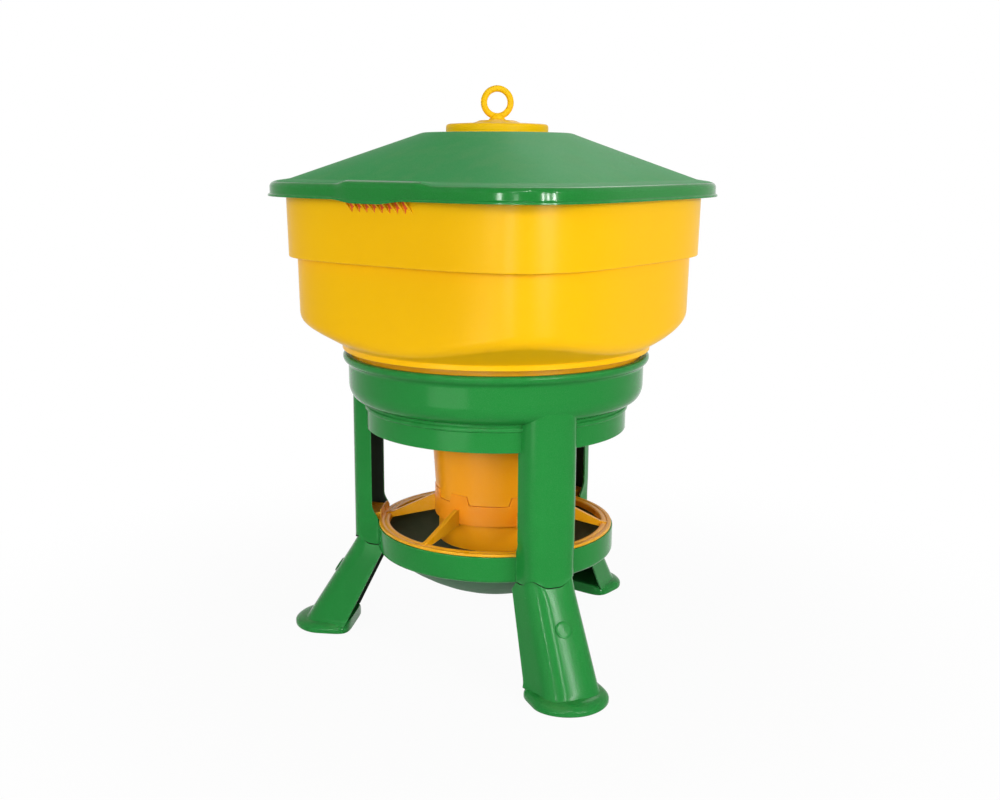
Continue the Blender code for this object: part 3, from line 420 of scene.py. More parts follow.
def section(reach, half, flare, soft_corner, edge, inset):
    """Channel outline as (across, outward) points from edge to edge, and the place of its outer corner."""
    bow = stand_reach - inset
    base = reach - stand_reach
    web = half - inset
    corner = np.array([web, base + math.sqrt(bow ** 2 - web ** 2)])
    inward = np.array([half + flare - inset, base + pan_radius]) - corner
    inward = inward / np.linalg.norm(inward)
    soft = soft_corner - 0.7 * inset
    start = corner + inward * soft
    end = np.array([web - soft, base + math.sqrt(bow ** 2 - (web - soft) ** 2)])
    tip = edge(corner, inward)
    line = [tip + (start - tip) * s for s in np.linspace(0.0, 1.0, 6)[:-1]]
    line += [start * (1 - s) ** 2 + corner * 2 * s * (1 - s) + end * s ** 2 for s in np.linspace(0, 1, 10)]
    line += [np.array([x, base + math.sqrt(bow ** 2 - x ** 2)]) for x in np.linspace(end[0], 0.0, 6)[1:]]
    line += [np.array([-p[0], p[1]]) for p in reversed(line[:-1])]
    return np.array(line), corner


def seam(away):
    """Height of the wavy seam, which rises toward the channel's outer corners."""
    return seam_height + wave_rise * math.cos(min(away / wave_width, 1.0) * math.pi / 2.0) ** 2


def channel(rows, lean=0.0):
    """Channel wall through rows of (height or its rule, reach, half width, flare, corner, edge rule)."""
    rings = []
    for height, *sizes in rows:
        outer, corner = section(*sizes, 0.0)
        inner = section(*sizes, stand_wall)[0]
        away = [math.hypot(abs(x) - corner[0], y - corner[1]) for x, y in outer]
        levels = [height(a) if callable(height) else height for a in away]
        if callable(height):
            back = np.array([[0.0, lean * (z - seam_height)] for z in levels])
            outer = outer - back
            inner = inner - back
        ring = [(x, -y, z) for (x, y), z in zip(outer, levels)]
        ring += [(x, -y, z) for (x, y), z in zip(inner[::-1], levels[::-1])]
        rings.append(np.array(ring))
    count = len(rings[0])
    half = count // 2
    # Finish 1, painted shade, goes on the inner faces and on the end faces.
    shell = Shell().lay(rings, [0] * half + [1] * (half - 1) + [0])
    for start in (0, (len(rings) - 1) * count):
        for j in range(half - 1):
            shell.faces.append((start + j, start + j + 1, start + count - 2 - j, start + count - 1 - j))
            shell.finish.append(1)
    return shell


def foot_reach(height):
    """Outer face of a foot at a height below the seam."""
    return stand_reach + (seam_height - height) * math.tan(splay)


def upright_shell():
    """Channel of an upright from its wavy foot to its top inside the collar, and its tongue."""
    plain = (web_half, 0.009, 0.019)
    narrow = (web_half, 0.0055, 0.019)
    pan_side = pan_radius + 0.0002
    rows = [(lambda away: seam(away) + seam_gap, stand_reach + 0.0003, *narrow, at_distance(pan_side))]
    for height in (seam_height + 0.013, seam_height + 0.02, pan_rim + 0.004):
        rows.append((height, stand_reach, *narrow, at_distance(pan_side)))
    for s in np.linspace(0.0, 1.0, 9):
        ease = math.sin(s * math.pi / 2.0) ** 1.2
        rows.append((pan_rim + 0.006 + 0.022 * s, stand_reach, web_half, 0.0055 + 0.0035 * s, 0.019,
                     at_distance(pan_side + (flange_edge - pan_side) * ease)))
    for s in np.linspace(0.1, 1.0, 10):
        rows.append((pan_rim + 0.028 + (collar_foot - 0.029 - pan_rim) * s, stand_reach, *plain,
                     at_distance(flange_edge)))
    for up, out in ((-0.0004, 0.0), (0.036, 0.0), (0.050, 0.0),
                    (0.056, 0.0001), (0.061, 0.0002), (0.066, 0.0002)):
        rows.append((collar_foot + up, stand_reach + out, *plain, at_distance(flange_edge + 0.0045)))
    tongue_half = 0.017
    tongue_wall = 0.0045
    bow = stand_reach - math.sqrt(stand_reach ** 2 - tongue_half ** 2)
    tongue_face = (stand_wall + 0.0005) / math.cos(splay) + bow
    face = stand_reach - tongue_face
    low = seam_height - 0.069
    low_face = foot_reach(low) - tongue_face
    in_wall = stand_reach - 0.8 * stand_wall
    side = [(in_wall, pan_rim - 0.012), (in_wall, seam_height + 0.013), (face, seam_height + 0.013),
            (face, seam_height), (low_face, low), (low_face - tongue_wall, low),
            (face - tongue_wall, seam_height), (face - tongue_wall, pan_rim - 0.012)]
    return channel(rows).take(Shell().prism(side, tongue_half, 1))


for name, turn in legs:
    piece("post_" + name, upright_shell().turned(turn), [stand_green, painted_shade_green], "stand",
          ["upright_" + name], edge_round=0.0009)

# Collar: the stand's stepped top ring. Its lower band has a bead and a groove, its main band a rolled
# rim, and the funnel stands on the shoulder inside. It is moulded with the uprights, with no seam.
lower_band = 0.1985
shoulder = collar_foot + 0.0415
collar_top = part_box("stand_collar")[1].z
main_band = 0.2236
rolled_rim = 0.2315
bore = 0.2193
collar_profile = [
    (lower_band, collar_foot, 0.0012), (lower_band, shoulder - 0.0118, 0.001),
    (lower_band + 0.0028, shoulder - 0.0105, 0.0012), (lower_band + 0.0028, shoulder - 0.0062, 0.0014),
    (lower_band + 0.0002, shoulder - 0.0045, 0.0012), (lower_band + 0.0002, shoulder, 0.0012),
    (lower_band + 0.0045, shoulder - 0.0002, 0.002), (0.2172, shoulder + 0.0070, 0.007),
    (0.2232, shoulder + 0.0200, 0.007), (main_band, collar_top - 0.0150, 0.003),
    (rolled_rim, collar_top - 0.0085, 0.0045), (rolled_rim, collar_top, 0.0048),
    (bore + 0.0005, collar_top, 0.0035), (bore, collar_top - 0.012, 0.002),
    (bore, shoulder + 0.0270, 0.010), (0.2110, shoulder + 0.0105, 0.008), (0.2000, shoulder + 0.0064, 0.003),
    (lower_band - stand_wall, shoulder + 0.0064, 0.001), (lower_band - stand_wall, collar_foot, 0.0012)]
piece("collar", Shell().lathe(collar_profile, count=256), [stand_green], "stand", ["stand_collar"])

# Feet: three splayed green channels, pushed over the uprights' tongues from below. Each ends in a low
# domed sole, rounded at its outer end, and a push-in pin locks it; the pin's head is a flat button.
# The feet's inner faces and end faces carry the same near-black painted shade.
sole_top = 0.016
sole_length = 0.0975
sole_half = 0.0562


def foot_shell():
    """Channel of a foot from its wavy top to its spread end, and its domed sole."""
    rows = [(seam, stand_reach, web_half, 0.0055, 0.019, at_distance(pan_radius + 0.0005))]
    top = seam_height - 0.011
    for height in list(np.linspace(top, 0.026, 12)) + [0.0225, 0.0195, 0.0172, 0.0155, 0.0140, 0.012]:
        share = (top - height) / (top - sole_top)
        spread = 0.0018 * max(0.0, (0.022 - height) / 0.010) ** 2
        half = web_half + 0.004 * (seam_height - height) / (seam_height - sole_top) + spread
        face = foot_reach(height)
        depth = 0.0556 + 0.0159 * share
        rows.append((height, face + spread, half, 0.006, 0.023, at_face(face - depth)))
    shell = channel(rows, lean=0.45)
    start = foot_reach(sole_top) + 0.0226 - sole_length
    count = 128
    turn = np.linspace(0.0, 2.0 * math.pi, count, endpoint=False)
    round_toe, square_heel = 1.9, 6.0
    power = np.where(np.sin(turn) < 0.0, round_toe, square_heel)
    plan = (np.abs(np.cos(turn)) ** power + np.abs(np.sin(turn)) ** power) ** (-1.0 / power)
    rings = []
    for scale, height in ((0.97, 0.0), (0.99, 0.0005), (1.0, 0.0018), (1.0, 0.0058), (0.992, 0.0075),
                          (0.972, 0.0095), (0.94, 0.0118), (0.89, 0.0139), (0.82, 0.0154), (0.72, 0.0163),
                          (0.55, 0.0167)):
        length = scale * sole_length / 2.0
        rings.append(np.stack([scale * sole_half * plan * np.cos(turn),
                               length * plan * np.sin(turn) - start - length,
                               np.full(count, height)], axis=1))
    return shell.take(Shell().lay(rings, ends=True))


pin_height = seam_height - 0.050
pin_place = Matrix.Translation((0.0, -foot_reach(pin_height), pin_height))
pin_stand = pin_place @ Matrix.Rotation(math.pi / 2.0 - splay, 4, "X")
pin_shank = 0.006
pin_head = 0.012
pin_profile = [
    (0.0005, -0.012, 0.0), (pin_shank, -0.012, 0.001), (pin_shank, 0.0003, 0.0), (pin_head, 0.0003, 0.0004),
    (pin_head, 0.0016, 0.0010), (0.0095, 0.0022, 0.001), (0.0005, 0.0025, 0.0)]
for name, turn in legs:
    piece("leg_" + name, foot_shell().turned(turn), [stand_green, painted_shade_green], "stand",
          ["foot_" + name], edge_round=0.0009)
    pin_shell = Shell().lathe(pin_profile, wrap=False, count=64).moved(pin_stand).turned(turn)
    piece("pin_" + name, pin_shell, [stand_green], "stand", ["foot_pin_" + name])

# Grille: one orange moulding. A ring with two ridges lies on the pan's rim, a hub goes round the tube's
# spigot, six blade spokes join them, and lugs with upright fins enter the uprights. The hub is painted a
# redder orange, painted shade and orange bounce light among the parts round it.
clearance = 0.0003
grille_seat = pan_rim + clearance
ring_out = pan_radius - 0.002
ring_in = ring_out - 0.016
ring_top = grille_seat + 0.0042
tube_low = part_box("feed_tube")[0].z
hub_low = tube_low + 0.0401
hub_top = hub_low + 0.0445
tab_depth = 0.0135
hub_bore = 0.0882
hub_out = 0.0937
tab_marks = [(turn + math.radians(centre), math.radians(half)) for turn in leg_turns
             for centre, half in ((-28.4, 21.0), (-78.0, 10.0))]
tab_slant = math.radians(2.5)


def round_wall(loop, gap):
    """Wall round the hopper's axis, from loop(share) at each angle; share is 1 in a tab, 0 between tabs."""
    angles = {round(math.radians(a), 5): 0.0 for a in range(0, 360, 2)}
    grow = gap / hub_out
    for centre, half in tab_marks:
        for angle in list(angles):
            off = (angle - centre + math.pi) % (2.0 * math.pi) - math.pi
            if abs(off) < half + grow + 0.012:
                del angles[angle]
        for s in np.linspace(-1.0, 1.0, 21):
            angles[round((centre + s * (half - tab_slant + grow)) % (2.0 * math.pi), 5)] = 1.0
        for s in (-1.0, 1.0):
            angles[round((centre + s * (half + grow)) % (2.0 * math.pi), 5)] = 0.0
    rings = [np.array([(r * math.sin(angle), -r * math.cos(angle), z) for r, z in loop(angles[angle])])
             for angle in sorted(angles)]
    return Shell().lay(rings, wrap=True)


def hub_loop(share):
    """Section of the hub's wall, lower where a tab of the tube stands in it."""
    top = hub_top - share * tab_depth
    return [(hub_out, hub_low), (hub_out, hub_low + 0.02), (hub_out, top), (hub_bore, top),
            (hub_bore, hub_low)]


grille_profile = [
    (ring_out, grille_seat, 0.0006), (ring_out, ring_top - 0.0006, 0.0012),
    (ring_out - 0.0030, ring_top + 0.0001, 0.0012), (ring_out - 0.0060, ring_top - 0.0002, 0.0008),
    (ring_out - 0.0072, ring_top - 0.0012, 0.0006), (ring_out - 0.0092, ring_top - 0.0012, 0.0006),
    (ring_out - 0.0104, ring_top - 0.0001, 0.0008), (ring_out - 0.0135, ring_top, 0.0012),
    (ring_in, ring_top - 0.0008, 0.0012), (ring_in, pan_rim - 0.0055, 0.0008),
    (ring_in + 0.0025, pan_rim - 0.0055, 0.0008), (ring_in + 0.0025, grille_seat, 0.0),
    (pan_inside - 0.0032, grille_seat, 0.0), (pan_inside - 0.0028, pan_rim - 0.0065, 0.0008),
    (pan_inside - 0.0006, pan_rim - 0.0065, 0.0006), (pan_inside - 0.0006, grille_seat, 0.0)]
grille_shell = Shell().lathe(grille_profile, count=256).take(round_wall(hub_loop, 0.0009))
spoke_side = [
    (hub_bore + 0.002, hub_low - 0.0015), (hub_bore + 0.002, hub_low + 0.023),
    (hub_out + 0.004, hub_low + 0.0222), (ring_in - 0.001, ring_top + 0.0022),
    (ring_in + 0.009, ring_top + 0.0004), (ring_in + 0.009, ring_top - 0.002),
    (ring_in + 0.0012, grille_seat - 0.003)]
spoke_half = 0.0038
lug_angle = math.radians(8.4)
fin_angle = math.radians(7.8)
fin_foot_angle = math.radians(10.1)
for i in range(6):
    grille_shell.take(Shell().prism(spoke_side, spoke_half).turned(leg_turns[0] + math.radians(60.0 * i)))
for turn in leg_turns:
    lug = Shell().arc(ring_out - 0.002, ring_out + 0.027, lug_angle, grille_seat + 0.0002,
                      grille_seat + 0.011)
    fin = Shell().arc(ring_out - 0.0028, ring_out - 0.0002, fin_angle, grille_seat + 0.002,
                      grille_seat + 0.016, low_angle=fin_foot_angle)
    grille_shell.take(lug.turned(turn)).take(fin.turned(turn))
grille_orange = moulded("grille_orange", paint(238, 168, 6), paint(228, 156, 6), paint(255, 215, 90), 0.22,
                        dust=0.04, specular=0.16)
# Painted shade: the hub's redder orange stands for the shade and orange bounce light round the spigot.
hub_shade_orange = moulded("hub_shade_orange", paint(255, 158, 12), paint(250, 148, 12), paint(255, 190, 90), 0.3,
                     dust=0.04, specular=0.16)
# Finish 1, the hub's painted shade, on the faces near the axis.
grille_shell.zone(lambda r, z, x, y: r < hub_out + 0.002)
piece("guard", grille_shell, [grille_orange, hub_shade_orange], "grille", ["grille"], edge_round=0.0006)

# Feed tube: tapering orange tube that hangs from the funnel's spout. Wide and narrow tabs at its foot
# key into the hub's notches, and a spigot goes on down through the hub into the pan.
tube_foot = hub_top + clearance
tube_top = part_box("feed_tube")[1].z
tube_foot_out = 0.0927
tube_foot_in = 0.0872
tube_top_out = 0.0988
tube_top_in = 0.0953
spigot_out = 0.0877
spigot_in = 0.0847


def tube_loop(share):
    """Section of the tube's wall, longer where it ends in a tab."""
    low = tube_foot - 0.0001 - share * 0.0129
    return [(tube_foot_out, low), (tube_foot_out, tube_foot + 0.0005), (0.0957, (tube_foot + tube_top) / 2.0),
            (tube_top_out, tube_top), (tube_top_in, tube_top), (tube_top_in, tube_top - 0.0203),
            (tube_foot_in + 0.0025, tube_foot + 0.009), (tube_foot_in, tube_foot),
            (tube_foot_in, low - 0.0001)]


tube_shell = round_wall(tube_loop, 0.0)
tube_shell.lathe([(spigot_out, tube_foot + 0.003, 0.0), (spigot_out, tube_low, 0.0008),
                  (spigot_in, tube_low, 0.0008), (spigot_in, tube_foot + 0.003, 0.0)])
piece("tube", tube_shell, [feed_orange], "hopper", ["feed_tube"], edge_round=0.0005)

# Funnel: orange band that stands on the collar's shoulder inside the main band, with a cone down to the
# spout. Only its upper edge shows, between the collar's rim and the hopper's neck.
funnel_low, funnel_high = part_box("funnel")
band = 0.2186
band_inside = band - 0.003
spout_out = 0.0947
spout_in = 0.0917
slope_top = funnel_high.z - 0.0125
slope_foot = funnel_low.z + 0.0205
funnel_profile = [
    (band, funnel_high.z, 0.0012), (band, shoulder + 0.0280, 0.010), (0.2095, shoulder + 0.0115, 0.004),
    (0.2068, shoulder + 0.0125, 0.001), (band_inside, shoulder + 0.0290, 0.008),
    (band_inside, slope_top - 0.004, 0.002), (spout_out, slope_foot - 0.0036, 0.003),
    (spout_out, funnel_low.z, 0.0006), (spout_in, funnel_low.z, 0.0006), (spout_in, slope_foot, 0.004),
    (band_inside, slope_top, 0.002), (band_inside, funnel_high.z, 0.0008)]
piece("funnel_cone", Shell().lathe(funnel_profile), [grille_orange], "hopper", ["funnel"])

# Hopper: rounded-square bin of yellow plastic, stepped once so that bins stack. Its bottom slopes in to
# a round neck on the funnel. Below the rim, at each of the lid's two grips, it has a row of slanting
# wedge ribs, and orange-red plates between them are painted shade and bounce light for their deep recesses.
neck_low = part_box("hopper")[0].z + 0.010
neck_high = neck_low + 0.008
hopper_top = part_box("hopper")[1].z
neck = 0.232
step = neck_high + 0.1282
hopper_square = 3.8
bottom_slope = 0.57
hopper_wall = 0.003
wide = 0.2605
waist = 0.250


def square_half(x, y, squareness):
    """Half width of the rounded square through a point."""
    along = (np.abs(x + y) / math.sqrt(2.0)) ** squareness
    across = (np.abs(x - y) / math.sqrt(2.0)) ** squareness
    return (along + across) ** (1.0 / squareness)


def squared(half, squareness, height, count=256):
    """Level rounded square with its corners on the X and Y axes; squareness 2 is a circle."""
    turn = np.linspace(0.0, 2.0 * math.pi, count, endpoint=False)
    base = np.abs(np.cos(turn - math.pi / 4)) ** squareness + np.abs(np.sin(turn - math.pi / 4)) ** squareness
    reach = half * base ** (-1.0 / squareness)
    return np.stack([reach * np.cos(turn), reach * np.sin(turn), np.full(count, height)], axis=1)


def sloped(half, rise=0.0):
    """Outline of the walls where they meet the conical bottom, or a rise above it."""
    ring = squared(half, hopper_square, neck_high + rise)
    ring[:, 2] += bottom_slope * (np.hypot(ring[:, 0], ring[:, 1]) - neck)
    return ring


spigot = band_inside - clearance
hopper_corners = [
    (squared(wide + 0.002, hopper_square, hopper_top), 0.0008),
    (squared(wide, hopper_square, step + 0.0006), 0.0016),
    (squared(waist, hopper_square, step - 0.0006), 0.0016), (sloped(waist - 0.0015), 0.014),
    (squared(neck, 2.0, neck_high), 0.002), (squared(neck, 2.0, neck_low), 0.0012),
    (squared(spigot, 2.0, neck_low), 0.0006), (squared(spigot, 2.0, neck_low - 0.010), 0.0008),
    (squared(spigot - hopper_wall, 2.0, neck_low - 0.010), 0.0008),
    (squared(spigot - hopper_wall, 2.0, neck_low + hopper_wall), 0.0006),
    (squared(neck - hopper_wall, 2.0, neck_high + 0.002), 0.004), (sloped(waist - 0.005, 0.0045), 0.012),
    (squared(waist - 0.004, hopper_square, step - 0.001), 0.0016),
    (squared(wide - hopper_wall, hopper_square, step + hopper_wall), 0.0016),
    (squared(wide - 0.001, hopper_square, hopper_top), 0.0008)]
hopper_yellow = moulded("hopper_yellow", paint(255, 198, 0), paint(252, 190, 0), paint(255, 210, 80), 0.25,
                        dust=0.04, grain=0.04, stretch=(1.0, 1.0, 0.5), specular=0.07)
# Painted shade: orange-red for the deep recesses between the grip ribs, lit only by yellow bounce light.
recess_shade_red = moulded("recess_shade_red", paint(240, 84, 26), paint(230, 74, 24), paint(240, 140, 60), 0.4, dust=0.0)
hopper_shell = Shell().lay(eased(hopper_corners, steps=7, wrap=True), wrap=True)
piece("bin", hopper_shell, [hopper_yellow], "hopper", ["hopper"])

rib_high = hopper_top - 0.004
rib_foot = hopper_top - 0.0355
rib_face = 0.268
rib_half = 0.0015
rib_pitch = 0.0135
rib_count = 9
rib_lean = -0.5
rib_shift = 0.006
rib_side = [(wide, rib_high), (rib_face, rib_high), (rib_face, hopper_top - 0.0215),
            (wide + 0.0012, rib_foot), (wide, rib_foot)]
recess = [(0.0, 0.018), (0.0105, 0.018), (0.0150, 0.0075), (0.0088, 0.0066), (0.0082, 0.0005),
          (0.0058, 0.0070)]
ribs = Shell()
for side_turn in (3.0 * math.pi / 4.0, -math.pi / 4.0):
    for i in range(rib_count):
        across = rib_pitch * (i - rib_count // 2)
        rib = Shell().prism(rib_side, rib_half)
        rib.points[:, 0] += across + (rib.points[:, 2] - rib_foot) * rib_lean + rib_shift
        ribs.take(rib.turned(side_turn))
        # Recess plate with the orange-red painted shade.
        if i < rib_count - 1:
            back, front = (np.array([(across + x, -out, rib_foot + z) for x, z in recess])
                           for out in (wide - 0.001, wide + 0.0022))
            ribs.take(Shell().lay([back, front], 1, ends=True).turned(side_turn))
piece("grip_ribs", ribs, [hopper_yellow, recess_shade_red], "hopper", edge_round=0.0004)

# Lid: green cover that slopes up from a rolled rim to a round flat with the filler hole. The slopes are
# finely textured and matt, the rim is polished, and a raised pad in two opposite sides gives a grip.
lid_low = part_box("lid")[0].z + 0.0045
lid_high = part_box("lid")[1].z
rim_top = lid_low + 0.022
lid_square = 4.4
lid_wall = 0.003
lip = 0.277
rim_face = lip - 0.0022
flat_radius = 0.109
filler_hole = 0.060


def gripped(half, height, out, up, centre, length, ease):
    """Rounded square ring of the rim, pushed out and up (or down) along the two grip pads.

    centre and length place a pad along its side, and ease is how long each of its ends is.
    """
    ring = squared(half, lid_square, height)
    side = np.arctan2(ring[:, 1], ring[:, 0]) - math.pi / 4.0
    along = np.clip(np.tan(side), -1.0, 1.0) * half - centre
    share = np.clip((length / 2.0 - np.abs(along)) / ease, 0.0, 1.0)
    share = np.where(np.cos(side) ** 2 < 0.5, 0.0, share * share * (3.0 - 2.0 * share))
    outward = ring[:, :2] / np.linalg.norm(ring[:, :2], axis=1)[:, None]
    ring[:, :2] += outward * (out * share)[:, None]
    ring[:, 2] += up * share
    return ring


def ramp(low_ring, high_ring, steps):
    """Rings between two rings."""
    return [(low_ring + (high_ring - low_ring) * s, 0.0) for s in np.linspace(0.0, 1.0, steps + 1)[1:-1]]


pad_foot = (-0.0076, 0.130, 0.045)
pad_head = (0.015, 0.168, 0.024)
slope_ring = squared(lip - 0.0265, lid_square, rim_top + 0.0029)
flat_ring = squared(flat_radius, 2.0, lid_high)
lid_corners = [
    (gripped(lip, lid_low, 0.003, -0.0045, *pad_foot), 0.0006),
    (gripped(lip, lid_low + 0.0028, 0.003, -0.0045, *pad_foot), 0.0012),
    (gripped(rim_face, lid_low + 0.0043, 0.0035, -0.0040, *pad_foot), 0.001),
    (gripped(rim_face, rim_top - 0.0066, 0.0035, 0.0025, *pad_head), 0.002),
    (gripped(rim_face - 0.0026, rim_top - 0.0020, 0.0035, 0.0040, *pad_head), 0.0025),
    (gripped(rim_face - 0.0095, rim_top + 0.0003, 0.0025, 0.0040, *pad_head), 0.002), (slope_ring, 0.003)]
lid_corners += ramp(slope_ring, flat_ring, 14)
lid_corners += [
    (flat_ring, 0.005), (squared(filler_hole, 2.0, lid_high), 0.0008),
    (squared(filler_hole, 2.0, lid_high - lid_wall), 0.0008),
    (squared(flat_radius - 0.001, 2.0, lid_high - lid_wall), 0.004),
    (squared(lip - 0.0275, lid_square, rim_top - lid_wall), 0.004),
    (squared(rim_face - lid_wall, lid_square, rim_top - lid_wall), 0.0015),
    (squared(rim_face - lid_wall, lid_square, lid_low), 0.0006)]
lid_shell = Shell().lay(eased(lid_corners, steps=6, wrap=True), wrap=True)
lid_shell.zone(lambda r, z, x, y: (
    z > rim_top - 0.001) & (square_half(x, y, lid_square) < rim_face - 0.0045))
rim_green = moulded("rim_green", paint(16, 131, 44), paint(11, 123, 40), paint(90, 175, 110), 0.08,
                    dust=0.02, peel=0.00001, specular=0.18)
slope_green = moulded("slope_green", paint(24, 150, 66), paint(19, 141, 60), paint(100, 172, 120), 0.42,
                      dust=0.05, peel=0.00005, grain=0.8, speckle=0.3, specular=0.07)
piece("cover", lid_shell, [rim_green, slope_green], "lid", ["lid"], sharp=50.0)

# Filler cap: round yellow cap on the lid's flat, with a low hump under the pull ring. Its plug goes
# down through the filler hole, and a boss inside holds the ring's shank.
cap_seat = lid_high + clearance
cap_top = cap_seat + 0.0139
cap_radius = 0.0753
hump_top = cap_top + 0.0038
cap_under = cap_top - 0.003
plug_out = 0.0590
plug_in = 0.0560
plug_low = cap_seat - 0.017
boss = 0.012
boss_low = cap_top - 0.0127
shank_hole = 0.0065
cap_yellow = moulded("cap_yellow", paint(255, 202, 0), paint(252, 195, 0), paint(255, 218, 80), 0.34,
                     dust=0.03, specular=0.06)
cap_profile = [
    (shank_hole, hump_top, 0.0), (0.0255, hump_top, 0.003), (0.0340, cap_top + 0.0002, 0.003),
    (0.0750, cap_top - 0.0020, 0.005), (cap_radius, cap_seat + 0.0026, 0.0006),
    (0.0747, cap_seat + 0.0020, 0.0004), (cap_radius, cap_seat + 0.0012, 0.0004),
    (cap_radius, cap_seat, 0.0005), (cap_radius - 0.003, cap_seat, 0.0005), (0.0715, cap_top - 0.0045, 0.003),
    (plug_out + 0.0005, cap_under, 0.001), (plug_out, plug_low, 0.001), (plug_in, plug_low, 0.001),
    (plug_in + 0.0005, cap_under, 0.002), (boss, cap_under, 0.002), (boss, boss_low, 0.001),
    (shank_hole, boss_low, 0.0004)]
piece("plug_cap", Shell().lathe(cap_profile), [cap_yellow], "cap", ["filler_cap"])

# Pull ring: yellow finger ring with a round bar. Its waisted neck stands on the cap's hump, its shank
# goes through the cap, and a steel clip under the cap's boss holds it so that it can turn.
eye_seat = cap_top + 0.0041
eye_radius = 0.0197
bar = 0.0047
eye_middle = eye_radius + bar + 0.0008
bar_turns = np.linspace(0.0, 2.0 * math.pi, 24, endpoint=False)
loops = []
for angle in np.linspace(0.0, 2.0 * math.pi, 96, endpoint=False):
    reach = eye_radius + bar * np.cos(bar_turns)
    loops.append(np.stack([reach * math.cos(angle), bar * np.sin(bar_turns),
                           reach * math.sin(angle) + eye_seat + eye_middle], axis=1))
eye_shell = Shell().lay(loops, wrap=True)
shank = 0.006
shank_groove = 0.0045
collar_out = 0.0124
eye_shell.lathe([(0.001, boss_low - 0.008, 0.0), (shank, boss_low - 0.008, 0.001),
                 (shank, boss_low - 0.003, 0.0004), (shank_groove, boss_low - 0.003, 0.0),
                 (shank_groove, boss_low, 0.0), (shank, boss_low, 0.0), (shank, eye_seat, 0.0),
                 (collar_out, eye_seat, 0.0004), (collar_out, eye_seat + 0.0014, 0.001),
                 (0.0108, eye_seat + 0.0020, 0.001), (0.0102, eye_seat + 0.0055, 0.002),
                 (0.0070, eye_seat + 0.009, 0.0)], wrap=False, count=64)
piece("finger_ring", eye_shell, [cap_yellow], "ring", ["pull_ring"])

clip_steel = Finish("clip_steel", Metallic=1.0)
brushed = clip_steel.noise(clip_steel.spot((1.0, 1.0, 30.0)), 400.0, 3.0)
clip_steel.feed(Base_Color=clip_steel.blend(brushed, paint(150, 152, 156), paint(196, 198, 202)),
                Roughness=0.22 + brushed * 0.2)
clip_steel.relief(brushed, 0.00002)
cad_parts["ring_clip"].material_slots[0].material = clip_steel.material

# Floor: one wide pale sheet. A small share of its own shading shows near the feeder, as a soft shadow,
# and far from it the floor is plain white. The light that it throws back is that of matt paper.
floor_half = 9.0
floor_height = -0.0005
floor_mesh = bpy.data.meshes.new("floor")
floor_mesh.from_pydata([(x * floor_half, y * floor_half, floor_height) for x, y in (
    (-1, -1), (1, -1), (1, 1), (-1, 1))], [], [(0, 1, 2, 3)])
floor = bpy.data.objects.new("floor", floor_mesh)
bpy.context.collection.objects.link(floor)


def seeing(tree):
    """1 for rays that show a surface: straight from the camera, by reflection or through glass."""
    path = tree.nodes.new("ShaderNodeLightPath")
    camera_ray, glossy_ray, glass_ray = (Signal(tree, path.outputs["Is " + kind + " Ray"])
                                         for kind in ("Camera", "Glossy", "Transmission"))
    return camera_ray + glossy_ray + glass_ray


floor_white = Finish("floor_white", Roughness=0.8, Specular_IOR_Level=0.2)
paper = floor_white.noise(floor_white.spot(), 40.0, 4.0)
floor_white.feed(Base_Color=floor_white.blend(paper, (0.68, 0.68, 0.68, 1.0), (0.72, 0.72, 0.72, 1.0)))
away = floor_white.add("ShaderNodeVectorMath", {"operation": "LENGTH"}, {0: floor_white.spot()},
                       output="Value")
white = floor_white.add("ShaderNodeEmission", None, {"Color": (1.0, 1.0, 1.0, 1.0), "Strength": 1.0})
clear = seeing(floor_white.tree) * (0.95 + floor_white.span(away, 0.30, 1.10) * 0.05)
matt = Signal(floor_white.tree, floor_white.shader.outputs["BSDF"])
surface = floor_white.add("ShaderNodeMixShader", None, {0: clear, 1: matt, 2: white})
floor_white.give(floor_white.tree.nodes["Material Output"].inputs["Surface"], surface)
floor_mesh.materials.append(floor_white.material)

# Studio light: a broad key from the front right, a fill from the left and two weak lamps from the front,
# under a white sky. Small strips only draw the pale marks on the lid, its rim, the bin, collar and foot.
world = bpy.data.worlds.new("studio")
bpy.context.scene.world = world
world.use_nodes = True
sky = world.node_tree.nodes["Background"]
sky.inputs["Color"].default_value = (1.0, 1.0, 1.0, 1.0)
sky_light = 0.32
sky_strength = sky_light + seeing(world.node_tree) * (1.0 - sky_light)
world.node_tree.links.new(sky_strength.socket, sky.inputs["Strength"])


def lamp(name, place, aim, width, height, power, shine=False, shape="RECTANGLE", spread=180.0):
    """Light that faces a point: a soft one that lights the piece, or a strip that only draws its shine."""
    light = bpy.data.lights.new(name, "AREA")
    light.shape = shape
    light.spread = math.radians(spread)
    light.size = width
    light.size_y = height
    light.energy = power
    item = bpy.data.objects.new(name, light)
    bpy.context.collection.objects.link(item)
    item.location = place
    item.rotation_euler = (Vector(aim) - Vector(place)).to_track_quat("-Z", "Y").to_euler()
    item.visible_glossy = shine
    item.visible_diffuse = not shine


def around(bearing, distance, height):
    """Point at a bearing from the hopper's axis, in degrees from +X toward +Y."""
    return (distance * math.cos(math.radians(bearing)), distance * math.sin(math.radians(bearing)), height)


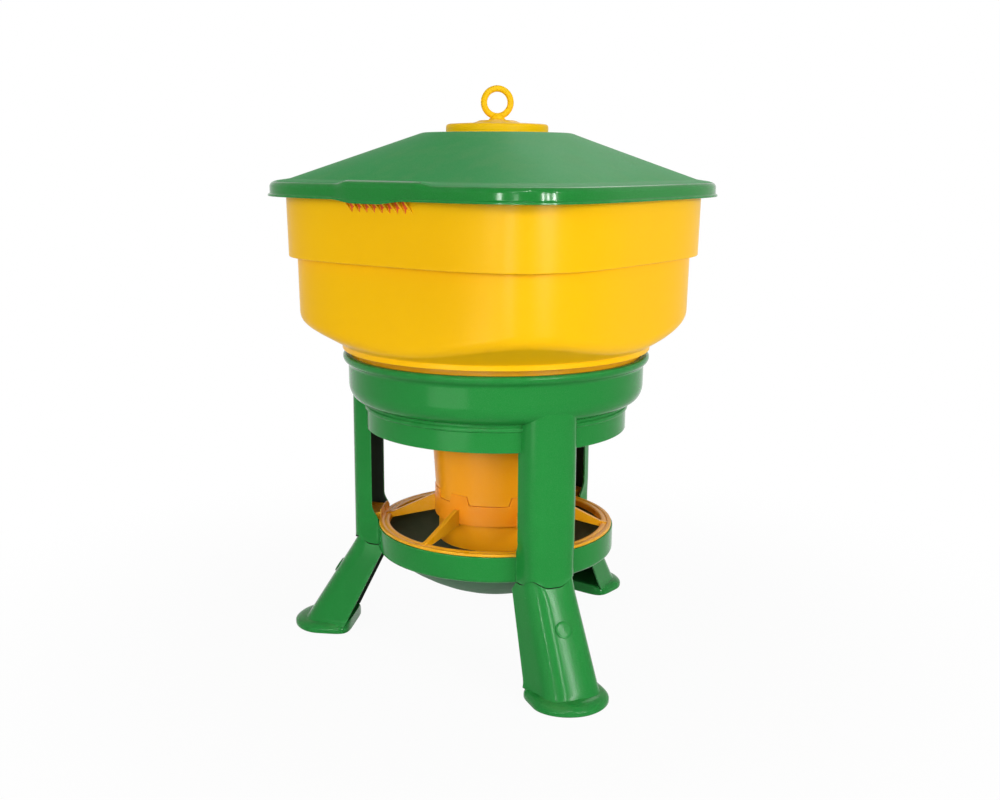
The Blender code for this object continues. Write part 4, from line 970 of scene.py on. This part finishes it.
foot_level, pan_level, middle, bin_level, lid_level = ((0.0, 0.0, z) for z in (0.10, 0.16, 0.40, 0.55, 0.70))
lamp("key", around(-48.0, 4.0, 1.45), middle, 2.0, 1.5, 92.0)
lamp("fill", around(-146.0, 4.0, 1.40), middle, 2.0, 1.5, 48.0)
lamp("front", around(-112.0, 3.0, 1.90), middle, 1.4, 0.8, 13.0)
lamp("low_front", around(-106.0, 1.1, 0.60), pan_level, 0.5, 0.14, 0.16, spread=40.0)
lamp("lid_shine", around(68.0, 2.8, 2.6), lid_level, 1.8, 1.0, 16.0, shine=True)
lamp("rim_blob", around(-124.5, 2.5, 0.66), lid_level, 0.14, 0.30, 9.0, shine=True)
lamp("rim_line", around(-91.0, 1.4, 2.20), lid_level, 0.34, 0.10, 14.0, shine=True)
for bearing, width in ((-72.0, 0.10), (-65.5, 0.10), (-57.0, 0.14)):
    lamp("rim_bar", around(bearing, 2.5, 0.68), lid_level, width, 0.30, 90.0 * width, shine=True)
lamp("bin_band", around(-107.0, 2.5, 0.44), bin_level, 0.22, 0.24, 13.0, shine=True)
lamp("bin_band_foot", around(-111.0, 2.5, 0.20), bin_level, 0.22, 0.22, 0.8, shine=True)
lamp("bin_corner", around(-62.0, 2.5, 0.42), bin_level, 0.52, 0.26, 6.0, shine=True)
for scale, power in ((1.0, 2.5), (0.8, 2.2), (0.6, 1.6), (0.4, 0.9), (0.22, 0.3)):
    lamp("collar_blob", around(-132.0, 1.5, 0.12), middle, 0.80 * scale, 0.32 * scale, power, shine=True,
         shape="ELLIPSE")
for bearing, height, power in ((-52.0, 1.65, 17.0), (-69.0, 1.80, 13.0), (-112.0, 1.80, 12.0)):
    lamp("foot_streak", around(bearing, 2.3, height), foot_level, 0.06, 0.80, power, shine=True)

# Camera: at the photograph's height and distance, looking a little down. Its small shift and slight roll
# are the ones with which the outlines fit best.
camera_bearing = math.radians(8.32)
camera_distance = 1.7926
camera_height = 0.7446
camera_dip = math.radians(11.595)
camera_roll = math.radians(0.29)
camera_data = bpy.data.cameras.new("camera")
camera_data.lens = 42.84
camera_data.sensor_width = 36.0
camera_data.shift_x = 0.0042
camera_data.shift_y = -0.0007
camera = bpy.data.objects.new("camera", camera_data)
bpy.context.collection.objects.link(camera)
camera.location = (-camera_distance * math.sin(camera_bearing), -camera_distance * math.cos(camera_bearing),
                   camera_height)
facing = Matrix.Rotation(-camera_bearing, 4, "Z") @ Matrix.Rotation(math.pi / 2.0 - camera_dip, 4, "X")
camera.rotation_euler = (facing @ Matrix.Rotation(camera_roll, 4, "Z")).to_euler()
bpy.context.scene.camera = camera
bpy.context.scene.view_settings.view_transform = "Standard"
